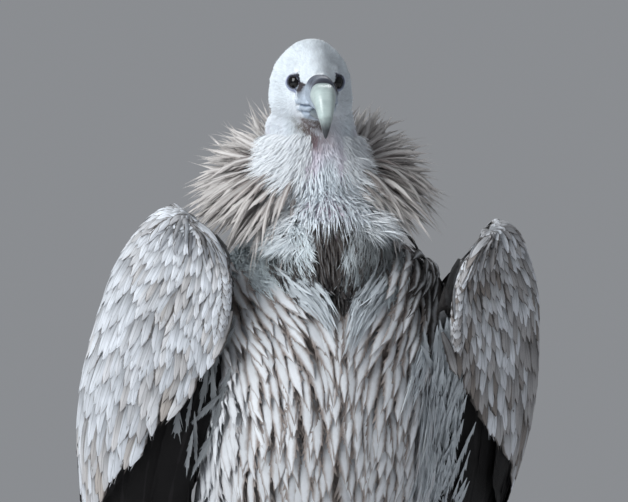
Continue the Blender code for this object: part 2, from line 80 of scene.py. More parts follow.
LOG = logging.getLogger("vulture")
MM = 0.001
SIDES = {"left": 1.0, "right": -1.0}
TOES = ("middle", "inner", "outer", "hind")


class Slot(Enum):
    """Names for the kinds of piece."""

    DOWN = "down"
    CROP_FEATHER = "crop_feather"
    RUFF_FEATHER = "ruff_feather"
    BODY_FEATHER = "body_feather"
    COVERT_FEATHER = "covert_feather"
    FLIGHT_FEATHER = "flight_feather"
    BILL_HORN = "bill_horn"
    BARE_SKIN = "bare_skin"
    EYE = "eye"
    LEG_SKIN = "leg_skin"
    CLAW_HORN = "claw_horn"


# ---------------------------------------------------------------- numbers


def unit(vectors: Array) -> Array:
    """The vectors, scaled to length one."""
    return vectors / np.maximum(np.linalg.norm(vectors, axis=-1, keepdims=True), 1e-12)


def ease(low: float | Array, high: float | Array, value: Array) -> Array:
    """A smooth step from 0 where value is low to 1 where it is high."""
    share = np.clip((value - low) / (high - low), 0.0, 1.0)
    return share * share * (3.0 - 2.0 * share)


def mound(value: Array, middle: float, reach: float) -> Array:
    """A bell of height 1 round the middle value, gone at about twice the reach."""
    return np.exp(-(((value - middle) / reach) ** 2))


def dome(value: Array, reach: float) -> Array:
    """A quarter circle's rise from 0 where value is 0 to 1 at the reach, and 1 beyond."""
    return np.sqrt(np.maximum(0, 1 - (1 - np.clip(value / reach, 0, 1)) ** 2))


def through(keys: Keys, at: Array | float) -> Array:
    """A smooth curve through keys.

    Args:
        keys: (place, value) pairs, where a value is a number or a tuple.
        at: The places to read the curve at.

    Returns:
        One value for each place, with a last axis if the values are tuples.
    """
    places = np.array([key[0] for key in keys], float)
    values = np.array([np.atleast_1d(key[1]) for key in keys], float)
    slopes = np.gradient(values, places, axis=0)
    at = np.clip(np.asarray(at, float), places[0], places[-1])
    i = np.clip(np.searchsorted(places, at, side="right") - 1, 0, len(places) - 2)
    span = (places[i + 1] - places[i])[..., None]
    t = (at - places[i])[..., None] / span
    found = (
        (2 * t**3 - 3 * t**2 + 1) * values[i]
        + (t**3 - 2 * t**2 + t) * span * slopes[i]
        + (3 * t**2 - 2 * t**3) * values[i + 1]
        + (t**3 - t**2) * span * slopes[i + 1]
    )
    return found[..., 0] if values.shape[1] == 1 else found


def ripple(points: Array, pitch: float, seed: int) -> Array:
    """Soft noise from -1 to 1 in space, made of a few crossed waves.

    Args:
        points: Places, one to a row.
        pitch: The size of its patches, in metres.
        seed: Which pattern to make.

    Returns:
        One number for each place.
    """
    rng = np.random.default_rng(seed)
    total = np.zeros(len(points))
    for _ in range(5):
        wave = rng.normal(size=3) * 2.2 / pitch
        total += np.sin(points @ wave + rng.uniform(0, 2 * math.pi))
    return np.clip(total / 2.6, -1.0, 1.0)


# ---------------------------------------------------------------- where things are


@dataclass(frozen=True)
class HeadPose:
    """How the head is held: dipped, and turned a little to the bird's right, round the eyes' middle."""

    dip: float = math.radians(9.0)
    turn: float = math.radians(-4.0)
    eye_forward: float = 0.5 * MM
    eye_up: float = 3.8 * MM
    eye_aside: float = 16.0 * MM
    eye_radius: float = 11.5 * MM
    gaze: tuple = (0.470, 0.877, 0.10)
    lid_open: float = math.radians(31.0)
    upper_lid: float = math.radians(8.0)
    lower_lid: float = math.radians(2.0)

    def eye_centre(self) -> Array:
        """The middle of the bird's left eye in the head's frame."""
        return np.array((self.eye_aside, self.eye_forward, self.eye_up))

    def gaze_way(self) -> Array:
        """The way the left eye looks, in the head's frame."""
        return np.array(self.gaze) / np.linalg.norm(self.gaze)

    def round_eye(self, local: Array) -> tuple[Array, Array, Array]:
        """Where places are round the eye on their side.

        Args:
            local: Places as (aside, forward, up) in the head's frame.

        Returns:
            Their distance from the eye's middle, their direction from it with aside counted away from the
            bird's midline, and how many degrees they are past the lids' edge.
        """
        away = local * np.where(local[:, :1] < 0, (-1.0, 1.0, 1.0), 1.0) - self.eye_centre()
        reach = np.linalg.norm(away, axis=1)
        heading = away / np.maximum(reach, 1e-9)[:, None]
        turn = np.arccos(np.clip(heading @ self.gaze_way(), -1, 1))
        over = self.frown(heading)
        opening = self.lid_open - self.upper_lid * ease(0.05, 0.50, over)
        opening = opening + self.lower_lid * ease(0.0, -0.5, over)
        return reach, heading, np.degrees(turn - opening)

    def frown(self, heading: Array) -> Array:
        """How far over the eye directions from it are, counted so that the lid slants down to the bill."""
        return 0.85 * heading[:, 2] + 0.50 * (0.47 * heading[:, 1] - 0.877 * heading[:, 0])

    def matrix(self) -> Matrix:
        """The head's own frame in the world, with the bill along its -Y."""
        low_left, high_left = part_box("eye_left")
        low_right, high_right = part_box("eye_right")
        middle = (low_left + high_left + low_right + high_right) / 4
        spin = Euler((self.dip, 0.0, self.turn), "XYZ").to_matrix()
        place = middle - spin @ Vector((0.0, -self.eye_forward, self.eye_up))
        return Matrix.Translation(place) @ spin.to_4x4()

    def inward(self, points: Array) -> Array:
        """World places as (aside, forward, up) in the head's frame."""
        back = np.array(self.matrix().inverted())
        local = points @ back[:3, :3].T + back[:3, 3]
        return local * (1.0, -1.0, 1.0)

    def face(self, points: Array) -> Array:
        """World places as rows of aside, from the midline out, forward and up, in millimetres."""
        aside, forward, up = self.inward(points).T / MM
        return np.stack((np.abs(aside), forward, up))

    def gape(self, forward: Array) -> Array:
        """How high the mouth's line runs, in millimetres, by how far forward it is."""
        return -14.4 - 0.16 * (34.0 - forward) + 1.2 * mound(forward, 24.0, 6.0)

    def outward(self, local: Array) -> Array:
        """(aside, forward, up) places in the head's frame as world places."""
        out = np.array(self.matrix())
        return (local * (1.0, -1.0, 1.0)) @ out[:3, :3].T + out[:3, 3]


def middle_of(node: str) -> Array:
    """The middle of a CAD node's box."""
    low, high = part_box(node)
    return np.array((low + high) / 2)


@dataclass(frozen=True)
class Stance:
    """Where the body stands in the frame, read from its feet."""

    foot_back: float = 0.052

    def shift(self) -> Array:
        """From the body's own midline to the frame's origin."""
        left, right = middle_of("foot_left"), middle_of("foot_right")
        return np.array(((left[0] + right[0]) / 2, left[1] - self.foot_back, 0.0))


HEAD = HeadPose()
SHIFT = Stance().shift()


@dataclass(frozen=True)
class WingForm:
    """The outer surface of a folded wing: down in metres from the wrist, and across from its leading edge."""

    side: str
    fall: float = math.radians(53.1)
    wrist: tuple = (0.150, -0.128, 0.672)
    wrist_round: float = 0.094
    wrist_blunt: float = 0.22
    lift: dict = field(default_factory=lambda: {"left": -0.012, "right": 0.004})
    spread: dict = field(default_factory=lambda: {"left": 0.010, "right": 0.004})
    leading: Keys = (
        (0.00, (0.098, -0.040)), (0.08, (0.104, -0.048)), (0.18, (0.112, -0.055)), (0.30, (0.126, -0.060)),
        (0.48, (0.122, -0.052)), (0.64, (0.100, -0.036)), (0.78, (0.080, -0.014)),
    )
    crest: Keys = (
        (0.00, (0.184, 0.014)), (0.06, (0.197, 0.018)), (0.12, (0.210, 0.020)), (0.24, (0.226, 0.019)),
        (0.38, (0.214, 0.013)), (0.56, (0.170, 0.010)), (0.78, (0.096, 0.000)),
    )
    back: Keys = (
        (0.00, (0.158, 0.050)), (0.08, (0.140, 0.068)), (0.18, (0.116, 0.090)), (0.30, (0.100, 0.098)),
        (0.46, (0.088, 0.078)), (0.62, (0.080, 0.040)), (0.78, (0.074, 0.010)),
    )
    covert_ends: dict = field(default_factory=lambda: {"left": (0.115, 0.405), "right": (0.115, 0.475)})

    def covert_end(self, across: Array) -> Array:
        """How far down the wing the coverts reach."""
        near, far = self.covert_ends[self.side]
        return near + (far - near) * np.sin(np.clip(across * 1.4, 0, 1) * math.pi / 2) ** 0.8

    def point(self, down: Array, across: Array) -> Array:
        """Places on the outer surface.

        Args:
            down: Metres down the folded wing from the wrist.
            across: From 0 at the leading edge to 1 at the back edge.

        Returns:
            World places, with a last axis of three.
        """
        down, across = np.broadcast_arrays(np.asarray(down, float), np.asarray(across, float))
        a = across[..., None]
        span_rise = (
            through(self.leading, down) * (1 - a) * (1 - 2 * a)
            + through(self.crest, down) * 4 * a * (1 - a)
            + through(self.back, down) * a * (2 * a - 1)
        )
        open_by = self.wrist_blunt + (1 - self.wrist_blunt) * dome(down, self.wrist_round)
        span = self.wrist[0] + (span_rise[..., 0] - self.wrist[0]) * open_by
        rise = span_rise[..., 1] * open_by
        span = span + self.spread[self.side] * np.clip(down / 0.1, 0.0, 1.0)
        run = np.array((0.0, math.cos(self.fall), -math.sin(self.fall)))
        up = np.array((0.0, math.sin(self.fall), math.cos(self.fall)))
        start = np.array((0.0, self.wrist[1], self.wrist[2] + self.lift[self.side])) + SHIFT
        at = start + run * down[..., None] + up * rise[..., None]
        at[..., 0] += SIDES[self.side] * span
        return at

    def normal(self, down: Array, across: Array) -> Array:
        """Directions square to the outer surface, away from the bird."""
        down, across = np.asarray(down, float), np.asarray(across, float)
        along = self.point(down + 0.004, across) - self.point(np.maximum(down - 0.004, 0), across)
        over = self.point(down, np.minimum(across + 0.02, 1)) - self.point(down, np.maximum(across - 0.02, 0))
        found = unit(np.cross(along, over))
        return found * np.sign(found[..., :1] * SIDES[self.side] + 1e-9)


@dataclass(frozen=True)
class RuffForm:
    """The collar of lances: turn from -1 to 1 goes round the neck, and out from 0 to 1 to the tips."""

    middle: tuple = (-0.006, -0.046, 0.690)
    open_turn: float = math.radians(300)

    def point(self, turn: Array, out: Array) -> Array:
        """World places on the collar's sheet."""
        angle = math.pi / 2 + turn * self.open_turn / 2
        side, back = np.cos(angle), np.sin(angle)
        reach = 0.040 + (0.074 + 0.010 * np.abs(side)) * out
        upright, drop = np.maximum(back, 0), np.maximum(-back, 0)
        rise = 0.020 + 0.080 * out * upright - 0.045 * out * drop - 0.035 * out**2 * (1 - upright)
        rise = rise + 0.024 * out * np.maximum(side, 0)
        lean = 0.62 - 0.16 * upright
        local = np.stack((side * reach, back * reach * lean + 0.010 * out, rise), axis=-1)
        return np.array(self.middle) + SHIFT + local


# ---------------------------------------------------------------- materials


class Shader:
    """Writes the nodes of one material round a Principled shader."""

    def __init__(self, name: str) -> None:
        """Starts an empty material of that name."""
        self.material = bpy.data.materials.new(name)
        self.material.use_nodes = True
        self.tree = self.material.node_tree
        self.surface = self.tree.nodes["Principled BSDF"]

    def level(self, **levels: float) -> None:
        """Sets sockets of the shader, named with _ for a space, to plain numbers."""
        for name, value in levels.items():
            self.surface.inputs[name.replace("_", " ")].default_value = value

    def colour(self, output: Socket) -> None:
        """Gives the shader its base colour."""
        self.tree.links.new(output, self.surface.inputs["Base Color"])

    def node(self, kind: str, inputs: dict, output: str | int = 0, **settings: str) -> Socket:
        """Adds a node.

        Args:
            kind: The node's type.
            inputs: What goes into each of its sockets: another node's output, a number, a colour or a vector.
            output: Which output to hand back.
            settings: The node's own settings.

        Returns:
            That output.
        """
        made = self.tree.nodes.new(f"ShaderNode{kind}")
        for name, value in settings.items():
            setattr(made, name, value)
        for key, value in inputs.items():
            socket = made.inputs[key]
            if isinstance(value, Socket):
                self.tree.links.new(value, socket)
            else:
                socket.default_value = (*value, 1.0) if socket.type == "RGBA" and len(value) == 3 else value
        return made.outputs[output]

    def attribute(self, name: str) -> bpy.types.bpy_prop_collection:
        """The outputs that read a value which the mesh carries."""
        return self.node("Attribute", {}, attribute_name=name).node.outputs

    def object_place(self) -> Socket:
        """The place on the object, in metres."""
        return self.node("TexCoord", {}, "Object")

    def parts(self, vector: Socket) -> list[Socket]:
        """The three numbers of a vector."""
        return list(self.node("SeparateXYZ", {0: vector}).node.outputs)

    def vector(self, *numbers: object) -> Socket:
        """A vector of three numbers."""
        return self.node("CombineXYZ", dict(enumerate(numbers)))

    def maths(self, operation: str, *numbers: object) -> Socket:
        """The result of a Math node."""
        return self.node("Math", dict(enumerate(numbers)), operation=operation)

    def times(self, a: object, b: object) -> Socket:
        """The product of two numbers."""
        return self.maths("MULTIPLY", a, b)

    def scaled(self, value: object, scale: object, base: object) -> Socket:
        """A number times a scale, added to a base."""
        return self.maths("MULTIPLY_ADD", value, scale, base)

    def rise(self, value: object, low: object, high: object, start: float = 0.0, end: float = 1.0) -> Socket:
        """A smooth step from start to end, as value goes from low to high."""
        inputs = {"Value": value, "From Min": low, "From Max": high, "To Min": start, "To Max": end}
        return self.node("MapRange", inputs, interpolation_type="SMOOTHSTEP")

    def noise(self, vector: object, scale: float, detail: float = 2.0, rough: float = 0.5) -> Socket:
        """Noise from 0 to 1."""
        inputs = {"Vector": vector, "Scale": scale, "Detail": detail, "Roughness": rough}
        return self.node("TexNoise", inputs, "Fac")

    def cells(self, vector: object, scale: float) -> Socket:
        """The distance to the edge of scale-like cells."""
        inputs = {"Vector": vector, "Scale": scale}
        return self.node("TexVoronoi", inputs, "Distance", feature="DISTANCE_TO_EDGE")

    def mix(self, share: object, a: object, b: object, blend: str = "MIX") -> Socket:
        """A colour between a and b."""
        return self.node("Mix", {"Factor": share, 6: a, 7: b}, 2, data_type="RGBA", blend_type=blend)

    def dim(self, colour: object, share: object) -> Socket:
        """A colour scaled by a number."""
        return self.node("VectorMath", {0: colour, "Scale": share}, operation="SCALE")

    def bump(self, height: object, distance: float, strength: float) -> None:
        """Roughens the surface by a height from 0 to 1 that stands for the distance in metres."""
        found = self.node("Bump", {"Distance": distance, "Strength": strength, "Height": height})
        self.tree.links.new(found, self.surface.inputs["Normal"])


@dataclass(frozen=True)
class VaneFinish:
    """Feathers: a streak along the shaft, fine barbs that run out on a slant, a shaded margin and painted
    shadow at the root.
    """

    name: str
    roughness: float = 0.75
    sheen: float = 0.15
    barbs: float = 34.0
    barb_shade: float = 0.16
    margin_shade: float = 0.25
    margin_width: float = 0.30
    streak_soft: float = 0.16
    shaft_shade: float = 0.0
    mottle: float = 0.18
    tip_pale: float = 0.0
    gloss: float = 0.3
    root_shade: float = 0.15

    def material(self) -> Material:
        """Makes the material, which reads the lie, vane and streak that each feather carries."""
        made = Shader(self.name)
        along, across, chance = made.parts(made.attribute("lie")["Vector"])
        vane = made.attribute("vane")["Color"]
        streak = made.attribute("streak")
        aside = made.maths("ABSOLUTE", across)
        grain = made.vector(made.times(along, 7.0), across, made.times(chance, 40.0))
        wander = made.maths("SUBTRACT", made.noise(grain, 1.6, 3.0, 0.6), 0.5)
        frayed = made.scaled(wander, 0.45, aside)
        low = made.maths("SUBTRACT", streak["Alpha"], self.streak_soft)
        high = made.maths("ADD", streak["Alpha"], self.streak_soft)
        off_streak = made.rise(frayed, low, high)
        colour = made.mix(off_streak, streak["Color"], vane)
        if self.tip_pale:
            colour = made.mix(made.rise(along, 0.55, 1.0, 0.0, self.tip_pale), colour, streak["Color"])
        margin = made.rise(frayed, 1.0 - self.margin_width, 1.0, 1.0, 1.0 - self.margin_shade)
        slant = made.scaled(aside, -0.55, along)
        phase = made.scaled(wander, 5.0, made.times(slant, self.barbs * 6.283))
        lines = made.scaled(made.maths("SINE", phase), 0.5, 0.5)
        barbs = made.scaled(lines, self.barb_shade, 1.0 - self.barb_shade)
        patches = made.noise(made.object_place(), 70.0, 3.0, 0.6)
        mottle = made.scaled(patches, 2 * self.mottle, 1.0 - self.mottle)
        shaft = made.rise(aside, 0.03, 0.09, 1.0 - self.shaft_shade, 1.0)
        shade = made.times(made.times(margin, barbs), made.times(mottle, shaft))
        # Painted shadow: each feather darkens towards its root, under the tip of the feather that laps over
        # it.
        shade = made.times(shade, made.rise(along, 0.45, 0.85, 1.0 - self.root_shade, 1.0))
        made.colour(made.dim(colour, shade))
        made.bump(lines, 0.0004, 0.5)
        made.level(Roughness=self.roughness, Specular_IOR_Level=self.gloss)
        made.level(Sheen_Weight=self.sheen, Sheen_Roughness=0.5)
        return made.material


@dataclass(frozen=True)
class DownFinish:
    """Down and hair-like feathers: soft, paler towards their tips."""

    name: str
    root_shade: float = 0.72
    sheen: float = 0.25

    def material(self) -> Material:
        """Makes the material, which reads the lie and vane colour that each tuft carries."""
        made = Shader(self.name)
        along, _, chance = made.parts(made.attribute("lie")["Vector"])
        tips = made.rise(along, 0.0, 0.8, self.root_shade, 1.0)
        patches = made.noise(made.object_place(), 160.0, 3.0, 0.6)
        uneven = made.scaled(patches, 0.20, 0.90)
        each = made.scaled(chance, 0.12, 0.94)
        shade = made.times(made.times(tips, uneven), each)
        made.colour(made.dim(made.attribute("vane")["Color"], shade))
        made.level(Roughness=0.9, Sheen_Weight=self.sheen, Sheen_Roughness=0.6, Specular_IOR_Level=0.15)
        return made.material


@dataclass(frozen=True)
class SkinFinish:
    """Bare and downy skin: the markings under the coat, and fine wrinkles where it is bare."""

    name: str
    pores: float = 900.0

    def material(self) -> Material:
        """Makes the material, which reads the skin's markings and how bare it is."""
        made = Shader(self.name)
        tint = made.attribute("vane")
        place = made.object_place()
        patches = made.noise(place, 240.0, 4.0, 0.65)
        creases = made.cells(place, self.pores)
        fine = made.rise(creases, 0.0, 0.25, 0.80, 1.0)
        bare = made.times(made.scaled(patches, 0.5, 0.75), fine)
        shade = made.mix(tint["Alpha"], (1.0, 1.0, 1.0), made.vector(bare, bare, bare))
        made.colour(made.mix(1.0, tint["Color"], shade, "MULTIPLY"))
        made.bump(made.maths("ADD", creases, patches), 0.0005, 0.6)
        made.level(Roughness=0.5, Specular_IOR_Level=0.4)
        return made.material


@dataclass(frozen=True)
class HornFinish:
    """Horn of bill or claw: faint growth lines, a darker tip, and a dull polish."""

    name: str
    pale: Colour
    dark: Colour
    side: Colour
    roughness: float = 0.33
    lines: float = 30.0

    def material(self) -> Material:
        """Makes the material. The mesh says how far along the horn and down its side each point is."""
        made = Shader(self.name)
        along, down, _ = made.parts(made.attribute("lie")["Vector"])
        place = made.object_place()
        smoke = made.noise(place, 110.0, 4.0, 0.6)
        grain = made.vector(made.times(along, self.lines), made.times(down, 3.0), 0.0)
        fibres = made.noise(grain, 1.5, 3.0)
        body = made.mix(made.rise(down, 0.42, 0.90), self.pale, self.side)
        body = made.mix(made.rise(smoke, 0.35, 0.8, 0.0, 0.35), body, self.side)
        tip = made.rise(made.scaled(smoke, 0.10, along), 0.76, 0.93)
        root = made.rise(along, 0.03, 0.10, 0.30, 1.0)
        colour = made.mix(tip, body, self.dark)
        made.colour(made.dim(colour, made.times(root, made.scaled(fibres, 0.3, 0.85))))
        made.bump(made.scaled(fibres, 0.6, smoke), 0.0004, 0.35)
        made.level(Roughness=self.roughness, Coat_Weight=0.15, Coat_Roughness=0.25)
        return made.material


@dataclass(frozen=True)
class EyeFinish:
    """A wet eye: a black pupil in a dark brown iris with fine spokes, under a clear coat."""

    name: str = "eye_wet"
    pupil: Colour = (0.002, 0.002, 0.003)
    iris: Colour = (0.007, 0.005, 0.004)
    rim: Colour = (0.002, 0.002, 0.003)
    white: Colour = (0.03, 0.035, 0.05)

    def material(self) -> Material:
        """Makes the material. The eye's mesh says how far each point is from the eye's axis."""
        made = Shader(self.name)
        away, spoke, _ = made.parts(made.attribute("lie")["Vector"])
        rays = made.noise(made.vector(made.times(spoke, 26.0), made.times(away, 3.0), 0.0), 1.0, 3.0)
        iris = made.mix(made.rise(rays, 0.3, 0.7), self.iris, self.rim)
        inner = made.mix(made.rise(away, 0.20, 0.24), self.pupil, iris)
        outer = made.mix(made.rise(away, 0.46, 0.54), inner, self.rim)
        made.colour(made.mix(made.rise(away, 0.60, 0.66), outer, self.white))
        made.level(Roughness=0.07, IOR=1.36)
        return made.material


@dataclass(frozen=True)
class ScaleFinish:
    """Leg and toe skin: small many-sided scales with dark seams, dusty in patches."""

    name: str = "leg_scales"
    pale: Colour = (0.36, 0.37, 0.35)
    seam: Colour = (0.10, 0.10, 0.10)

    def material(self) -> Material:
        """Makes the material."""
        made = Shader(self.name)
        place = made.object_place()
        plate, crest, _ = made.parts(made.attribute("lie")["Vector"])
        small = made.rise(made.cells(place, 330.0), 0.02, 0.11)
        broad = made.rise(crest, 0.25, 0.60)
        plated = made.times(broad, plate)
        edge = made.maths("ADD", plated, made.times(small, made.maths("SUBTRACT", 1.0, plate)))
        dust = made.noise(place, 90.0, 4.0, 0.65)
        scale = made.mix(made.rise(dust, 0.3, 0.75, 0.0, 0.6), self.pale, (0.24, 0.25, 0.25))
        made.colour(made.mix(edge, self.seam, scale))
        made.bump(edge, 0.0006, 0.8)
        made.level(Roughness=0.62, Specular_IOR_Level=0.35)
        return made.material


@dataclass(frozen=True)
class StageFinish:
    """The plain pale floor."""

    name: str = "floor_pale"
    tint: Colour = (0.80, 0.80, 0.81)

    def material(self) -> Material:
        """Makes the material."""
        made = Shader(self.name)
        grain = made.noise(made.object_place(), 14.0, 4.0, 0.6)
        made.colour(made.dim(self.tint, made.scaled(grain, 0.06, 0.97)))
        made.level(Roughness=0.8)
        return made.material


# ---------------------------------------------------------------- meshes


def mesh_of(name: str, points: Array, triangles: Array) -> Mesh:
    """A mesh from arrays.

    Args:
        name: The mesh's name.
        points: One place to a row.
        triangles: Three point numbers to a row.

    Returns:
        The new mesh, shaded smooth.
    """
    mesh = bpy.data.meshes.new(name)
    mesh.vertices.add(len(points))
    mesh.vertices.foreach_set("co", np.ascontiguousarray(points, np.float32).ravel())
    mesh.loops.add(triangles.size)
    mesh.loops.foreach_set("vertex_index", np.ascontiguousarray(triangles, np.int32).ravel())
    mesh.polygons.add(len(triangles))
    mesh.polygons.foreach_set("loop_start", np.arange(0, triangles.size, 3, dtype=np.int32))
    mesh.update(calc_edges=True)
    mesh.shade_smooth()
    return mesh


def points_of(mesh: Mesh) -> Array:
    """A mesh's points."""
    flat = np.empty(len(mesh.vertices) * 3)
    mesh.vertices.foreach_get("co", flat)
    return flat.reshape(-1, 3)


def triangles_of(mesh: Mesh) -> Array:
    """A mesh's faces, cut into triangles."""
    mesh.calc_loop_triangles()
    flat = np.empty(len(mesh.loop_triangles) * 3, np.int32)
    mesh.loop_triangles.foreach_get("vertices", flat)
    return flat.reshape(-1, 3)


def solid_of(node: str) -> tuple[Array, Array]:
    """A CAD node's own points and triangles."""
    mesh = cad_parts[node].data
    return points_of(mesh), triangles_of(mesh)


def point_normals(points: Array, triangles: Array) -> Array:
    """Smooth directions out of a closed mesh at its points."""
    a, b, c = (points[triangles[:, i]] for i in range(3))
    faces = np.cross(b - a, c - a)
    total = np.zeros_like(points)
    for i in range(3):
        np.add.at(total, triangles[:, i], faces)
    return unit(total)


def carry(mesh: Mesh, name: str, values: Array) -> None:
    """Stores a value on each point of a mesh: three numbers as a vector, or four as a colour."""
    kind, slot = ("FLOAT_COLOR", "color") if values.shape[1] == 4 else ("FLOAT_VECTOR", "vector")
    made = mesh.attributes.new(name, kind, "POINT")
    made.data.foreach_set(slot, np.ascontiguousarray(values, np.float32).ravel())


def map_points(mesh: Mesh, uv: Array) -> None:
    """Gives a mesh of triangles the OFBake map, from a place on it for each point."""
    corners = np.empty(len(mesh.loops), np.int32)
    mesh.loops.foreach_get("vertex_index", corners)
    made = mesh.uv_layers.new(name="OFBake")
    made.data.foreach_set("uv", np.ascontiguousarray(uv[corners], np.float32).ravel())


def show(name: str, mesh: Mesh, look: Material, slot: Slot, nodes: Sequence[str] = ()) -> Piece:
    """Puts a piece in the scene.

    Args:
        name: The piece's name.
        mesh: Its mesh.
        look: Its material.
        slot: Not used.
        nodes: The CAD nodes that it stands for.

    Returns:
        The piece, riding on the bird.
    """
    made = bpy.data.objects.new(name, mesh)
    mesh.materials.append(look)
    bpy.context.scene.collection.objects.link(made)
    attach(made, "root")
    if nodes:
        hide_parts(*nodes)
    LOG.info("%s: %d points", name, len(mesh.vertices))
    return made


def closed_form(place: Places, steps: int, turns: int) -> tuple[Array, ...]:
    """A closed form that place(t, angle) wraps round a line.

    Args:
        place: Gives the points for arrays of t, from 0 to 1 along, and angle.
        steps: Rings along it.
        turns: Points in a ring.

    Returns:
        Its points, its triangles, and t and angle for each point.
    """
    t = (1 - np.cos(np.linspace(0, math.pi, steps + 1)[1:-1])) / 2
    angle = np.arange(turns) * 2 * math.pi / turns
    grid_t, grid_angle = (g.ravel() for g in np.meshgrid(t, angle, indexing="ij"))
    all_t = np.concatenate((grid_t, (0.0, 1.0)))
    all_angle = np.concatenate((grid_angle, (0.0, 0.0)))
    points = place(all_t, all_angle)
    rings, first, last = len(t), len(grid_t), len(grid_t) + 1
    triangles = []
    for ring in range(rings - 1):
        for turn in range(turns):
            a, b = ring * turns + turn, ring * turns + (turn + 1) % turns
            triangles += [(a, b, b + turns), (a, b + turns, a + turns)]
    for turn in range(turns):
        nearby = (turn + 1) % turns
        triangles += [(first, nearby, turn), (last, first - turns + turn, first - turns + nearby)]
    return points, outward_facing(points, np.array(triangles)), all_t, all_angle


def outward_facing(points: Array, triangles: Array) -> Array:
    """Triangles of a closed form, turned over if they face in."""
    a, b, c = (points[triangles[:, i]] - points.mean(axis=0) for i in range(3))
    volume = np.einsum("ij,ij->i", a, np.cross(b, c)).sum()
    return triangles if volume > 0 else triangles[:, ::-1]


def one_skin(pieces: Sequence[tuple[Array, Array]], swell: float, voxel: float, smoothing: int) -> Mesh:
    """Joins closed forms in one closed smooth mesh.

    Args:
        pieces: The points and triangles of each form.
        swell: How far each is swollen first, so that it meets its neighbours.
        voxel: The size of the new mesh's faces.
        smoothing: How often it is smoothed.

    Returns:
        The new mesh.
    """
    clouds, faces, count = [], [], 0
    for points, triangles in pieces:
        _, index, back = np.unique(np.round(points, 6), axis=0, return_index=True, return_inverse=True)
        points, triangles = points[index], back.ravel()[triangles]
        clouds.append(points + point_normals(points, triangles) * swell)
        faces.append(triangles + count)
        count += len(points)
    joined = bpy.data.objects.new("joined", mesh_of("joined", np.concatenate(clouds), np.concatenate(faces)))
    bpy.context.scene.collection.objects.link(joined)
    remesh = joined.modifiers.new("one_skin", "REMESH")
    remesh.mode = "VOXEL"
    remesh.voxel_size = voxel
    soften = joined.modifiers.new("soften", "SMOOTH")
    soften.factor = 0.5
    soften.iterations = smoothing
    mesh = bpy.data.meshes.new_from_object(joined.evaluated_get(bpy.context.evaluated_depsgraph_get()))
    bpy.data.objects.remove(joined)
    return mesh


# ---------------------------------------------------------------- markings


